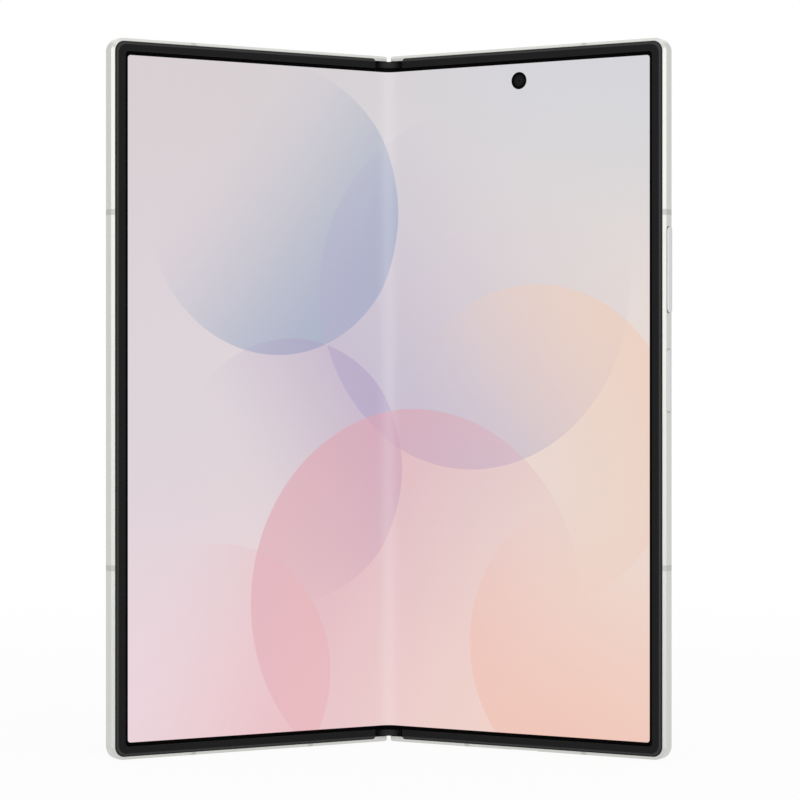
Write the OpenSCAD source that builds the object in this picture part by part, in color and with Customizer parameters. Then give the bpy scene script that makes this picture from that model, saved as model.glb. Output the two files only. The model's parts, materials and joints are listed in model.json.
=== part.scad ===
// Foldable smartphone, standing half open on its bottom edge.
// Each half is drawn flat: x runs outward from the fold, y rearward from the bezel's face, z up.

/* [Overall] */
// Height of the phone
body_h = 158.4; // [154:0.1:166]
// Width of one half, from the fold to its outer side
half_w = 71.6; // [69:0.1:78]
// Thickness of one half, from the bezel's face to the rear glass
half_t = 4.2; // [4.2:0.05:4.6]
// Angle between the two halves, 180 is flat
open_deg = 116; // [70:1:170]

/* [Frame] */
// Radius of the outer corners
corner_r = 3; // [2.4:0.1:4]
// Bevel on the front edge of the rail
bevel = 0.6; // [0.3:0.05:0.8]
// Radius on the rear edge of the rail
rear_r = 1; // [0.6:0.05:1.2]
// Width of the side rails
rail_w = 1.9; // [1.8:0.05:2.2]
// Plate behind the display
web_t = 0.65; // [0.55:0.05:0.8]
// Rear strip that covers the spine when open
skin_t = 0.25; // [0.2:0.01:0.3]
// Where the hinge rail starts, from the fold
hinge_rail_x = 4.4; // [4.3:0.05:4.6]
// Thickness of the fence between the spine and the inner room
fence_t = 1; // [0.8:0.05:1.3]
// Depth of the hinge rail behind the plate
hinge_rail_t = 0.95; // [0.85:0.05:1.1]
// Thickness of the end walls over the spine
end_wall_t = 1.2; // [1:0.05:1.4]
// Gap from the fold to each half's edge
edge_gap = 0.45; // [0.35:0.05:0.6]
// Width of an antenna band
band_w = 1.2; // [0.8:0.1:1.6]
// Depth of an antenna band into the rail
band_depth = 1.4; // [1:0.1:1.6]
// Upper side band, down from the top
band_top = 38.3; // [36:0.1:39.5]
// Lower side band, up from the bottom
band_low = 42.1; // [38:0.1:50]
// End bands, in from the outer side
band_side = 20.3; // [19:0.1:23]
// Inner band in the bottom edge, from the fold
band_inner = 21.1; // [18:0.1:23]

/* [Bezel and display] */
// How far the bezel stands above the metal
bezel_rise = 0.35; // [0.25:0.05:0.4]
// Bezel's outer edge, in from the outer side
bezel_inset = 0.7; // [0.6:0.05:0.8]
// Width of the bezel along the sides
bezel_w = 2.35; // [2.3:0.05:2.8]
// Width of the bezel along the top and bottom
bezel_end_w = 2.2; // [2.2:0.05:2.6]
// Width of the bezel's sloping outer rim
bezel_rim = 0.95; // [0.7:0.05:1.2]
// Radius of the bezel's inner corners
bezel_in_r = 0.8; // [0.5:0.1:1.4]
// Where the bezel ends, from the fold
bezel_end_x = 4.2; // [4:0.05:4.6]
// Display's face below the bezel's face
screen_recess = 0.3; // [0.28:0.01:0.34]
// Thickness of the flexible display
screen_t = 0.5; // [0.4:0.05:0.55]
// Display's side edge, in from the outer side
screen_inset = 2.5; // [2.4:0.05:2.7]
// Display's top and bottom edges, in from the ends
screen_end_inset = 2.8; // [2.7:0.05:2.95]
// Half width of the part of the display that bends
fold_zone = 8.5; // [8:0.1:9]
// Radius of the bend in the display's face
crease_r = 2.9; // [2.4:0.1:3.4]

/* [Hinge] */
// Each fold axis, out from the fold's centre
axis_x = 1.5; // [1.45:0.01:1.55]
// Gap between the bezels when closed
closed_gap = 0.5; // [0.4:0.02:0.6]
// Wall of the spine cover
spine_wall = 0.25; // [0.2:0.01:0.28]
// Clearance between the spine cover and the halves
spine_gap = 0.15; // [0.12:0.01:0.2]
// Running clearance of rails, pins and keys
run_gap = 0.04; // [0.03:0.005:0.06]
// Inner radius of the crescent rails
rail_in_r = 1.45; // [1.4:0.01:1.5]
// Radial thickness of the crescent rails
rail_t = 0.6; // [0.5:0.01:0.65]
// Length of a rail along the hinge
rail_len = 3; // [2.6:0.1:3.4]
// Where a rail ends when flat, around its axis
rail_end_deg = 150; // [140:1:152]
// Thickness of the walls between the rails
bracket_wall = 1; // [0.8:0.1:1.2]
// Thickness of an arm's foot
foot_t = 0.5; // [0.4:0.05:0.5]
// Where an arm's foot ends, from the fold
foot_end_x = 9.5; // [9.3:0.1:10]
// Radius of a foot screw's shank
screw_r = 0.4; // [0.3:0.05:0.45]
// Radius of a foot screw's head
screw_head_r = 0.85; // [0.7:0.05:0.95]

/* [Synchronising gears] */
// Tooth size, pitch diameter over teeth
tooth_module = 0.125; // [0.12:0.001:0.13]
// Width of each row of teeth
tooth_row = 2; // [1.6:0.1:2.4]
// Radius of a pinion's shaft
shaft_r = 0.2; // [0.16:0.01:0.22]
// Outer radius of the toothed arm
sector_r = 2.2; // [2.18:0.01:2.21]

/* [Support wings] */
// Thickness of a wing
wing_t = 0.2; // [0.15:0.01:0.22]
// Radius of the rolled edge the wing turns on
bead_r = 0.25; // [0.22:0.01:0.27]
// Free edge of a wing, from the fold
wing_end_x = 1; // [0.9:0.05:1.4]
// Tilt of a wing for each degree of fold
wing_ratio = 0.11; // [0.08:0.01:0.12]

/* [Keys and ports] */
// Width of the keys across the rail
key_w = 1.9; // [1.5:0.1:2]
// Length of the volume key
volume_len = 18.9; // [17:0.1:20]
// Volume key's centre, down from the top
volume_top = 50.9; // [50:0.1:52]
// Length of the power key
power_len = 13.8; // [11:0.1:14.4]
// Power key's centre, down from the top
power_top = 75.2; // [74.4:0.1:78]
// How far the volume key stands out
volume_proud = 0.35; // [0.1:0.05:0.4]
// How far the power key stands out
power_proud = 0.02; // [0:0.01:0.2]
// Gap round the keys in the rail
key_gap = 0.1; // [0.04:0.01:0.14]
// Inner width of the USB-C shell
port_w = 8.34; // [8.2:0.01:8.5]
// Inner height of the USB-C shell
port_h = 2.56; // [2.45:0.01:2.58]
// Wall of the USB-C shell
port_wall = 0.12; // [0.1:0.01:0.13]
// Length of the USB-C shell
port_len = 7.2; // [6.6:0.1:8]
// Port's centre, from the fold
port_x = 36; // [34:0.1:38]
// Width of the SIM tray
tray_w = 14.4; // [13.6:0.1:15]
// Length of the SIM tray
tray_len = 16; // [15:0.1:18]
// Thickness of the SIM tray's head
tray_t = 1.3; // [1.1:0.05:1.4]

/* [Cameras] */
// Inner camera's centre, from the fold
inner_cam_x = 34.9; // [33:0.1:37]
// Inner camera's centre, down from the top
inner_cam_top = 7.55; // [7:0.05:8.5]
// Radius of the hole in the display
punch_r = 1.85; // [1.7:0.05:2.1]
// Width of the rear camera housing
island_w = 20; // [18:0.1:21]
// Height of the rear camera housing
island_h = 60; // [58:0.1:62]
// How far the housing stands out
island_rise = 2; // [1.6:0.1:2.4]
// Housing's side, in from the outer side
island_side = 6; // [5:0.1:7]
// Housing's top, down from the top
island_top = 7; // [6:0.1:8]
// Radius of a camera barrel
barrel_r = 6.5; // [6:0.1:6.8]
// Distance from camera to camera
camera_pitch = 18.5; // [17:0.1:19]

/* [Inside] */
// Thickness of the rear and cover glass
glass_t = 0.5; // [0.4:0.02:0.5]
// Thickness of a battery cell
cell_t = 1.75; // [1.5:0.05:1.8]
// Thickness of the circuit boards
board_t = 0.6; // [0.4:0.05:0.8]
// Top of the battery cells, below the camera housing
cell_gap = 3.4; // [2.5:0.1:8]
// Bottom of the battery cells
cell_low = 26; // [24:0.5:28]

/* [Hidden] */
$fn = 64;
tilt = (180 - open_deg) / 2;
mid_z = body_h / 2;

// Depths, from the bezel's face rearward
metal_y = bezel_rise;
screen_y = screen_recess;
screen_back_y = screen_y + screen_t;
glue = 0.05;
web_y = screen_back_y + glue;
seat_y = web_y + web_t;
hinge_rail_y = seat_y + hinge_rail_t;
glass_y = half_t - glass_t;
skin_y = half_t - skin_t;

// The fold axis of the right half
axis_y = axis_x - closed_gap / 2;

// Where the whole thing stands, with its box centred on the origin
front_reach = axis_y - (half_w - bevel - axis_x) * sin(tilt) - (axis_y - metal_y) * cos(tilt);
back_reach = axis_y + (axis_x - edge_gap) * sin(tilt) + (half_t - axis_y) * cos(tilt);
shift_y = -(front_reach + back_reach) / 2;

// Spine
spine_r = skin_y - spine_gap - axis_y;
spine_in_r = spine_r - spine_wall;
spine_edge_y = seat_y + run_gap + 0.02;
spine_low = end_wall_t + 0.05;
cap_plate_t = 0.35;
cap_plug_t = 1.9;
relief_r = 1.5;
relief_y = 0.1;

// Rail brackets, next to the end caps
bracket_len = 3 * bracket_wall + 2 * (rail_len + 2 * run_gap);
bracket_low = spine_low + cap_plate_t + cap_plug_t + 0.05;
bracket_face_y = web_y + 0.1;

// Gear unit, in the middle of the spine; the teeth would fill a full circle
pinion_teeth = 10;
sector_teeth = 30;
gear_plate_t = 0.8;
row_gap = 0.4;
row_play = 0.05;
gear_len = 2 * gear_plate_t + 3 * tooth_row + 2 * row_gap + 2 * row_play;
gear_low = mid_z - gear_len / 2;
row_low = gear_low + gear_plate_t + row_play;
row_step = tooth_row + row_gap;
pinion_r = tooth_module * pinion_teeth / 2;
pitch_r = tooth_module * sector_teeth / 2;
gear_ratio = sector_teeth / pinion_teeth;
addendum = 0.8 * tooth_module;
dedendum = 1.12 * tooth_module;
pinion_xs = [-3 * pinion_r, -pinion_r, pinion_r, 3 * pinion_r];
mesh_dx = 3 * pinion_r - axis_x;
mesh_dy = sqrt(pow(pitch_r - pinion_r, 2) - mesh_dx * mesh_dx);
mesh_deg = atan2(mesh_dy, mesh_dx);
pinion_y = axis_y + mesh_dy;
sector_from_deg = 30;
sector_to_deg = mesh_deg + 90 + 11;
rib_w = 1;
rib_t = 0.23;
half_pitch = PI * tooth_module / 4;
backlash = 0.024;
tip_half = 0.32 * tooth_module;

// Arms
foot_y = seat_y - foot_t;
foot_side_gap = 0.05;
tongue_x = axis_x + rail_in_r;
foot_x = hinge_rail_x + 0.1;

// Wings, between the brackets and the gear unit
wing_space = 0.6;
wing_low = bracket_low + bracket_len + wing_space;
wing_high = gear_low - wing_space;
bead_x = fold_zone;
bead_y = web_y + bead_r;
wing_pocket_y = web_y + wing_t + (bead_x - hinge_rail_x) * sin(90 * wing_ratio) + 0.1;
wing_tilt = wing_ratio * tilt;

// Room behind the plate
room_x = hinge_rail_x + fence_t;
room_end_x = half_w - rail_w;
glass_inset = rear_r + 0.1;
glass_x = room_x - 0.5;
fit_gap = 0.05;
cell_x = foot_end_x + 1;
cell_top = body_h - island_top - island_h - cell_gap;
cell_end_x = room_end_x - 4.2;

// Keys
key_y = (metal_y + bevel + half_t - rear_r) / 2;
volume_z = body_h - volume_top;
power_z = body_h - power_top;
flange_t = 0.6;
flange_over = 0.5;
key_travel = 0.25;
flange_x = room_end_x + key_travel;
switch_x = flange_x - key_travel - 1.2;

// Port, tray and cameras
port_out_h = port_h + 2 * port_wall;
port_out_w = port_w + 2 * port_wall;
port_y = web_y + 0.01 + port_out_h / 2;
port_face_z = 0.2;
tray_y = seat_y + 0.9;
tray_head = 1.6;
tray_card_t = 0.9;
inner_cam_z = body_h - inner_cam_top;
island_x = half_w - island_side - island_w / 2;
island_z = body_h - island_top - island_h / 2;
island_y = half_t;
island_edge = 0.7;
barrel_low_y = seat_y + 0.7;
ring_proud = 0.6;
flash_r = 0.9;
flash_x = island_x + island_w / 2 - 2.2;
flash_z = island_z + camera_pitch / 2;
cover_cam_r = 1.6;
cover_cam_w = 5;
cover_cam_x = (glass_x + half_w) / 2;
cover_cam_z = body_h - 9;

// Beside the cover camera: SIM tray towards the fold, earpiece outward
tray_x = cover_cam_x - cover_cam_w / 2 - tray_w / 2 - 0.7;
earpiece_w = 10;
earpiece_low = body_h - 11;
earpiece_x = cover_cam_x + cover_cam_w / 2 + earpiece_w / 2 + 0.4;
lower_speaker_w = 15;
lower_speaker_side = 15.6;
lower_speaker_x = half_w - lower_speaker_side;
speaker_hole_r = 0.4;
speaker_hole_step = 1.5;

// Microphones, from the fold
top_mic_x = inner_cam_x - 5;
low_mic_x = port_x - 9;
left_mic_x = half_w - 11.6;
mic_r = 0.3;

// Boards, and what lies on them and on the cells
board_x = foot_end_x + 1;
board_top = body_h - rail_w - 0.4;
sub_end_x = lower_speaker_x - lower_speaker_w / 2 - 2;
can_h = (board_top - cell_top) * 0.3;
coil_r = 0.33 * (cell_end_x - cell_x);
coil_in_r = 0.45 * coil_r;
magnet_len = 12;
magnet_w = 2;
board_end_x = island_x - island_w / 2 - 0.8;

metal = "Gainsboro";
black = [0.13, 0.13, 0.13];

// ---- placing and small helpers ----

module on_spine() {
    translate([0, shift_y, 0]) children();
}

module on_right() {
    translate([axis_x, axis_y + shift_y, 0]) rotate([0, 0, -tilt]) translate([-axis_x, -axis_y, 0]) children();
}

module on_left() {
    mirror([1, 0, 0]) on_right() children();
}

// The same shape at the top and, mirrored, at the bottom
module both_ends() {
    children();
    flip_z() children();
}

module flip_z() {
    translate([0, 0, body_h]) mirror([0, 0, 1]) children();
}

// An outline in x and z, given a depth from y0
module deep(y0, t) {
    translate([0, y0 + t, 0]) rotate([90, 0, 0]) linear_extrude(t) children();
}

// An outline in y and z, given a length along x
module wide(x0, w) {
    translate([x0, 0, 0]) rotate([90, 0, 90]) linear_extrude(w) children();
}

// Rod along y
module rod_y(r, y0, t) {
    translate([0, y0, 0]) rotate([-90, 0, 0]) cylinder(r = r, h = t);
}

module box(x0, x1, y0, y1, z0, z1) {
    translate([x0, y0, z0]) cube([x1 - x0, y1 - y0, z1 - z0]);
}

// Rectangle with round corners
module round_rect(w, h, r) {
    square([w - 2 * r, h], center = true);
    square([w, h - 2 * r], center = true);
    for (x = [-1, 1], y = [-1, 1]) translate([x * (w / 2 - r), y * (h / 2 - r)]) circle(r);
}

// Outline of a half with its outer corners round
module half_outline(x0, side_inset, end_inset, r) {
    w = half_w - side_inset - x0;
    h = body_h - 2 * end_inset;
    translate([x0, end_inset]) {
        square([w - r, h]);
        translate([0, r]) square([w, h - 2 * r]);
        for (z = [r, h - r]) translate([w - r, z]) circle(r);
    }
}

// Part of a ring between two angles, up to 160 degrees apart
module ring_part(r0, r1, from_deg, to_deg) {
    steps = 4;
    reach = 1.3 * r1;
    difference() {
        intersection() {
            circle(r1);
            polygon(concat([[0, 0]], [for (i = [0 : steps])
                let (a = from_deg + (to_deg - from_deg) * i / steps) [reach * cos(a), reach * sin(a)]]));
        }
        circle(r0);
    }
}

// ---- half frames ----

// Section of a rail: bevel in front, round at the back, w wide
module rail_section(w) {
    difference() {
        union() {
            translate([0, metal_y]) square([w - rear_r, half_t - metal_y]);
            translate([0, metal_y]) square([w, half_t - metal_y - rear_r]);
            translate([w - rear_r, half_t - rear_r]) circle(rear_r);
        }
        translate([w, metal_y]) rotate(45) square(bevel * sqrt(2), center = true);
    }
}

// Slab of one half with bevelled and rounded outer edges
module half_slab() {
    translate([edge_gap, 0, corner_r])
        linear_extrude(body_h - 2 * corner_r) rail_section(half_w - edge_gap);
    both_ends() {
        translate([half_w - corner_r, 0, mid_z]) rotate([0, -90, 0])
            linear_extrude(half_w - corner_r - edge_gap) rail_section(mid_z);
        translate([half_w - corner_r, 0, body_h - corner_r]) rotate([-90, 0, 0])
            rotate_extrude() intersection() {
                rail_section(corner_r);
                square([corner_r, half_t]);
            }
    }
}

// Where the plastic bands cross the rail
module band_slots(inner_low) {
    side_z = [band_low, body_h - band_top];
    for (z = side_z)
        box(half_w - band_depth, half_w + 1, metal_y - 1, half_t + 1, z - band_w / 2, z + band_w / 2);
    x = half_w - band_side;
    both_ends() box(x - band_w / 2, x + band_w / 2, metal_y - 1, half_t + 1, -1, band_depth);
    if (inner_low)
        box(band_inner - band_w / 2, band_inner + band_w / 2, metal_y - 1, half_t + 1, -1, band_depth);
}

// Frame before its own ports: pockets for the display, wings, arm feet, inner room and rear glass
module bare_frame() {
    end_r = axis_x - edge_gap;
    corner = 0.8;
    front = -1;
    difference() {
        half_slab();
        // space for the spine
        box(-1, hinge_rail_x, front, skin_y, end_wall_t, body_h - end_wall_t);
        // display pocket
        deep(front, web_y - front) half_outline(0, screen_inset - 0.2, screen_end_inset - 0.2, 1);
        // end walls turn about the fold axis, so their front corner is round
        difference() {
            box(-1, axis_x, front, axis_y, -1, body_h + 1);
            translate([axis_x, axis_y, -1]) cylinder(r = end_r, h = body_h + 2);
        }
        both_ends() difference() {
            box(edge_gap - 1, edge_gap + corner, front, half_t + 1, body_h - corner, body_h + 1);
            translate([edge_gap + corner, 0, body_h - corner]) rod_y(corner, front, half_t + 2 - front);
        }
        // wings
        both_ends() {
            box(0, bead_x - 0.1, front, wing_pocket_y, wing_low - 0.2, wing_high + 0.2);
            translate([bead_x, bead_y, wing_low - 0.2])
                cylinder(r = bead_r + run_gap, h = wing_high - wing_low + 0.4);
        }
        // arm feet
        both_ends() box(0, foot_end_x + foot_side_gap, front, seat_y,
            bracket_low - foot_side_gap, bracket_low + bracket_len + foot_side_gap);
        box(0, foot_end_x + foot_side_gap, front, seat_y,
            gear_low - foot_side_gap, gear_low + gear_len + foot_side_gap);
        for_foot_screws() rod_y(screw_r + 0.02, seat_y - 1, hinge_rail_t + 2);
        // inner room
        deep(seat_y, half_t) half_outline(foot_end_x + 0.5, rail_w, rail_w, 1);
        deep(hinge_rail_y, half_t) half_outline(room_x, rail_w, rail_w, 1);
        glass_seat();
    }
}

// Step in the rail that the rear or cover glass lies in
module glass_seat() {
    deep(glass_y, half_t) half_outline(glass_x, glass_inset, glass_inset, corner_r - glass_inset);
}

// Screw places, two for each arm foot
module for_foot_screws() {
    x = (foot_x + foot_end_x) / 2;
    inset = 1.5;
    for (z = [bracket_low + inset, bracket_low + bracket_len - inset, gear_low + inset,
            gear_low + gear_len - inset, body_h - bracket_low - inset,
            body_h - bracket_low - bracket_len + inset])
        translate([x, 0, z]) children();
}

// Through slot and inner flange recess for one key
module key_opening(len, z) {
    translate([0, key_y, z]) {
        wide(room_end_x - 1, rail_w + 2) round_rect(key_w + 2 * key_gap, len + 2 * key_gap, key_w / 2);
        box(room_end_x - 1, flange_x + flange_t + fit_gap, -key_w / 2 - flange_over / 2 - fit_gap,
            key_w / 2 + flange_over / 2 + fit_gap, -len / 2 - flange_over - fit_gap,
            len / 2 + flange_over + fit_gap);
    }
}

module port_outline(grow) {
    round_rect(port_w + 2 * grow, port_h + 2 * grow, port_h / 2 - 0.05 + grow);
}

module right_frame() {
    color(metal) on_right() difference() {
        bare_frame();
        band_slots(true);
        key_opening(volume_len, volume_z);
        key_opening(power_len, power_z);
        // port in the bottom edge
        translate([port_x, port_y, -1]) linear_extrude(port_len + 2) port_outline(port_wall + 0.02);
        // speaker holes and microphones
        for (i = [-2.5 : 2.5]) translate([lower_speaker_x + i * speaker_hole_step, key_y, -1])
            cylinder(r = speaker_hole_r, h = rail_w + 2);
        translate([low_mic_x, key_y, -1]) cylinder(r = mic_r, h = rail_w + 2);
        translate([top_mic_x, key_y, body_h - rail_w - 1]) cylinder(r = mic_r, h = rail_w + 2);
        // inner camera
        translate([inner_cam_x, 0, inner_cam_z]) rod_y(punch_r + 0.1, 0, half_t);
    }
}

module left_frame() {
    color(metal) on_left() difference() {
        bare_frame();
        band_slots(true);
        // SIM tray slot and its pin hole
        translate([tray_x, tray_y, body_h - rail_w - 1]) linear_extrude(rail_w + 2)
            round_rect(tray_w + 2 * run_gap, tray_t + 2 * run_gap, tray_t / 2);
        translate([tray_x - tray_w / 2 - 1.6, tray_y, body_h - rail_w - 1]) cylinder(r = 0.4, h = rail_w + 2);
        // earpiece slots and microphone
        for (i = [-2 : 2]) translate([earpiece_x + i * speaker_hole_step, key_y, body_h - rail_w - 1])
            cylinder(r = speaker_hole_r, h = rail_w + 2);
        translate([left_mic_x, key_y, -1]) cylinder(r = mic_r, h = rail_w + 2);
    }
}

module bands() {
    color("Silver") difference() {
        intersection() {
            half_slab();
            band_slots(true);
        }
        glass_seat();
    }
}

module right_antenna_bands() {
    on_right() bands();
}

module left_antenna_bands() {
    on_left() bands();
}

// ---- bezel and display ----

// C-shaped rim: its outer edge slopes up in an arc, its inner lip covers the display's edge
module bezel() {
    r = corner_r - bezel_inset;
    rim_r = (bezel_rim * bezel_rim + bezel_rise * bezel_rise) / (2 * bezel_rise);
    lip_t = screen_recess - 0.04;
    end_r = 0.5;
    color(black) difference() {
        union() {
            translate([bezel_end_x, 0, bezel_inset + r])
                linear_extrude(body_h - 2 * bezel_inset - 2 * r)
                    bezel_section(half_w - bezel_inset - bezel_end_x, rim_r);
            both_ends() {
                translate([half_w - bezel_inset - r, 0, mid_z]) rotate([0, -90, 0])
                    linear_extrude(half_w - bezel_inset - r - bezel_end_x)
                        bezel_section(mid_z - bezel_inset, rim_r);
                translate([half_w - bezel_inset - r, 0, body_h - bezel_inset - r]) rotate([-90, 0, 0])
                    rotate_extrude() bezel_section(r, rim_r);
            }
        }
        // opening over the display
        deep(-1, 3)
            half_outline(0, bezel_inset + bezel_w, bezel_inset + bezel_end_w, bezel_in_r);
        // the display's edge goes under the lip
        deep(lip_t, 3) half_outline(0, screen_inset - 0.1, screen_end_inset - 0.1, 1);
        // round end at the fold
        both_ends() difference() {
            box(bezel_end_x - 1, bezel_end_x + end_r, -1, 1, body_h - bezel_inset - end_r, body_h);
            translate([bezel_end_x + end_r, 0, body_h - bezel_inset - end_r]) rod_y(end_r, -1, 2);
        }
    }
}

module bezel_section(w, rim_r) {
    square_w = w - bezel_rim;
    square([square_w, bezel_rise]);
    intersection() {
        translate([square_w, rim_r]) circle(rim_r);
        square([w, bezel_rise]);
    }
}

module right_bezel() {
    on_right() bezel();
}

module left_bezel() {
    on_left() bezel();
}

module screen_half() {
    deep(screen_y, screen_t) half_outline(fold_zone, screen_inset, screen_end_inset, 1.4);
}

module display_right() {
    color("Lavender") on_right() difference() {
        screen_half();
        translate([inner_cam_x, 0, inner_cam_z]) rod_y(punch_r, 0, half_t);
    }
}

module display_left() {
    color("Lavender") on_left() screen_half();
}

// The bending strip: a straight leg on each half, and an arc about a line in front of the fold.
// The arc is a hair thinner than the legs and ends inside them.
module display_fold() {
    face_v = screen_y - axis_y;
    centre_y = axis_y - (crease_r - face_v - axis_x * sin(tilt)) / cos(tilt);
    step = 0.01;
    overlap = 0.05;
    leg_u = (crease_r * sin(tilt) - axis_x) * cos(tilt)
        - (centre_y + crease_r * cos(tilt) - axis_y) * sin(tilt) - overlap;
    leg_w = fold_zone - axis_x - leg_u;
    color("Lavender") translate([0, 0, screen_end_inset]) linear_extrude(body_h - 2 * screen_end_inset) {
        translate([0, centre_y + shift_y])
            ring_part(crease_r + step, crease_r + screen_t - step, 88 - tilt, 92 + tilt);
        for (side = [-1, 1]) translate([side * axis_x, axis_y + shift_y]) rotate(-side * tilt)
            translate([side * (leg_u + leg_w / 2), face_v + screen_t / 2])
                square([leg_w, screen_t], center = true);
    }
}

// ---- spine ----

// Round-backed section about both fold axes
module spine_section(r) {
    square_h = 2 * r;
    for (side = [-1, 1]) translate([side * axis_x, axis_y]) circle(r);
    translate([-axis_x, axis_y - r]) square([2 * axis_x, square_h]);
}

// What lies behind a depth, and clear of the display when it bends
module behind(y0) {
    difference() {
        children();
        translate([-half_t * 3, -half_t * 3]) square([half_t * 6, half_t * 3 + y0]);
        translate([0, relief_y]) circle(relief_r);
    }
}

module spine_cover() {
    low = spine_low + cap_plate_t;
    color("DimGray") on_spine() translate([0, 0, low]) linear_extrude(body_h - 2 * low) difference() {
        behind(spine_edge_y) spine_section(spine_r);
        spine_section(spine_in_r);
    }
}

// T-shaped cap: a plate that ends the spine, a plug inside it and a lip beside the display's edge
module hinge_cap() {
    plate_z = spine_low;
    lip_w = 4.6;
    lip_y = 0.85;
    dish_r = 7;
    lip_top = screen_end_inset - 0.1;
    color(black) on_spine() {
        translate([0, 0, plate_z]) linear_extrude(cap_plate_t) behind(spine_edge_y) spine_section(spine_r);
        translate([0, 0, plate_z + cap_plate_t]) linear_extrude(cap_plug_t)
            behind(spine_edge_y + 0.1) spine_section(spine_in_r - 0.02);
        translate([0, 0, plate_z]) linear_extrude(lip_top - plate_z) difference() {
            translate([-lip_w / 2, lip_y]) square([lip_w, spine_edge_y + 0.5 - lip_y]);
            translate([0, lip_y + 0.15 - dish_r]) circle(dish_r);
        }
        translate([0, 0, plate_z]) linear_extrude(lip_top - plate_z)
            translate([-lip_w / 2 - 0.6, axis_y]) square([lip_w + 1.2, spine_edge_y + 0.5 - axis_y]);
    }
}

module hinge_cap_bottom() {
    hinge_cap();
}

module hinge_cap_top() {
    flip_z() hinge_cap();
}

// Bracket with an arc groove for each half's rail, one above the other
module rail_bracket() {
    slot_h = rail_len + 2 * run_gap;
    color("SlateGray") on_spine() translate([0, 0, bracket_low]) difference() {
        linear_extrude(bracket_len) behind(bracket_face_y) spine_section(spine_in_r - 0.02);
        for (side = [0, 1]) mirror([side, 0, 0])
            translate([0, 0, bracket_wall + side * (slot_h + bracket_wall)])
                linear_extrude(slot_h) rail_groove();
        // the halves' front corners sweep past the sides
        for (side = [0, 1]) mirror([side, 0, 0]) translate([axis_x + rail_in_r + rail_t, 0, -1])
            cube([4, spine_edge_y, bracket_len + 2]);
    }
}

module rail_groove() {
    translate([axis_x, axis_y])
        ring_part(rail_in_r - run_gap, rail_in_r + rail_t + run_gap, -9, rail_end_deg + 1);
    translate([tongue_x - run_gap, 0]) square([4, seat_y + run_gap]);
}

module rail_bracket_lower() {
    rail_bracket();
}

module rail_bracket_upper() {
    flip_z() rail_bracket();
}

// ---- arms ----

// Foot that is screwed to the half, with a tongue that reaches into the spine
module arm_foot(foot_low, foot_len, tongue_low, tongue_len) {
    difference() {
        union() {
            box(foot_x, foot_end_x, foot_y, seat_y, foot_low, foot_low + foot_len);
            box(tongue_x, foot_x + 1, foot_y, seat_y, tongue_low, tongue_low + tongue_len);
        }
        for_foot_screws() {
            rod_y(screw_r + 0.02, foot_y - 1, foot_t + 2);
            rod_y(screw_head_r + 0.02, foot_y - 1, foot_t / 2 + 1);
        }
    }
}

// Arm with a crescent rail; level 0 is the right half's groove and level 1 the left half's
module hinge_arm(level) {
    rail_low = bracket_low + bracket_wall + level * (rail_len + 2 * run_gap + bracket_wall) + run_gap;
    root_deg = asin((foot_y - axis_y) / (rail_in_r + rail_t));
    color("LightSteelBlue") {
        translate([axis_x, axis_y, rail_low]) linear_extrude(rail_len)
            ring_part(rail_in_r, rail_in_r + rail_t, root_deg, rail_end_deg);
        arm_foot(bracket_low, bracket_len, rail_low, rail_len);
    }
}

module right_arm_lower() {
    on_right() hinge_arm(0);
}

module right_arm_upper() {
    on_right() flip_z() hinge_arm(0);
}

module left_arm_lower() {
    on_left() hinge_arm(1);
}

module left_arm_upper() {
    on_left() flip_z() hinge_arm(1);
}

// ---- synchronising gears ----

// One tooth along +x: narrow at tip_r, full at the pitch circle, root_half at root_r
module tooth(tip_r, at_r, root_r, root_half) {
    h = half_pitch - backlash / 2;
    polygon([[root_r, -root_half], [at_r, -h], [tip_r, -tip_half],
        [tip_r, tip_half], [at_r, h], [root_r, root_half]]);
}

// Pinion at place i, drawn at rest with its teeth in mesh
module pinion(i, low_row, rows) {
    turns = (i % 2 == 1) ? -1 : 1;
    step = 360 / pinion_teeth;
    first = mesh_deg + step / 2;
    base = (i % 2 == 1) ? first : 180 - step / 2 - first;
    color("Goldenrod") on_spine() translate([pinion_xs[i], pinion_y, row_low + low_row * row_step])
        linear_extrude(rows * tooth_row + (rows - 1) * row_gap) difference() {
            union() {
                circle(pinion_r - dedendum);
                for (k = [0 : pinion_teeth - 1]) rotate(base + turns * gear_ratio * tilt + k * step)
                    tooth(pinion_r + addendum, pinion_r, pinion_r - dedendum - 0.03, 0.72 * tooth_module);
            }
            circle(shaft_r + run_gap);
        }
}

module pinion_left_outer() {
    pinion(0, 1, 2);
}

module pinion_left_inner() {
    pinion(1, 1, 1);
}

module pinion_right_inner() {
    pinion(2, 1, 1);
}

module pinion_right_outer() {
    pinion(3, 0, 2);
}

module gear_shafts() {
    color("Silver") on_spine() for (x = pinion_xs)
        translate([x, pinion_y, gear_low]) cylinder(r = shaft_r, h = gear_len);
}

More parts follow.
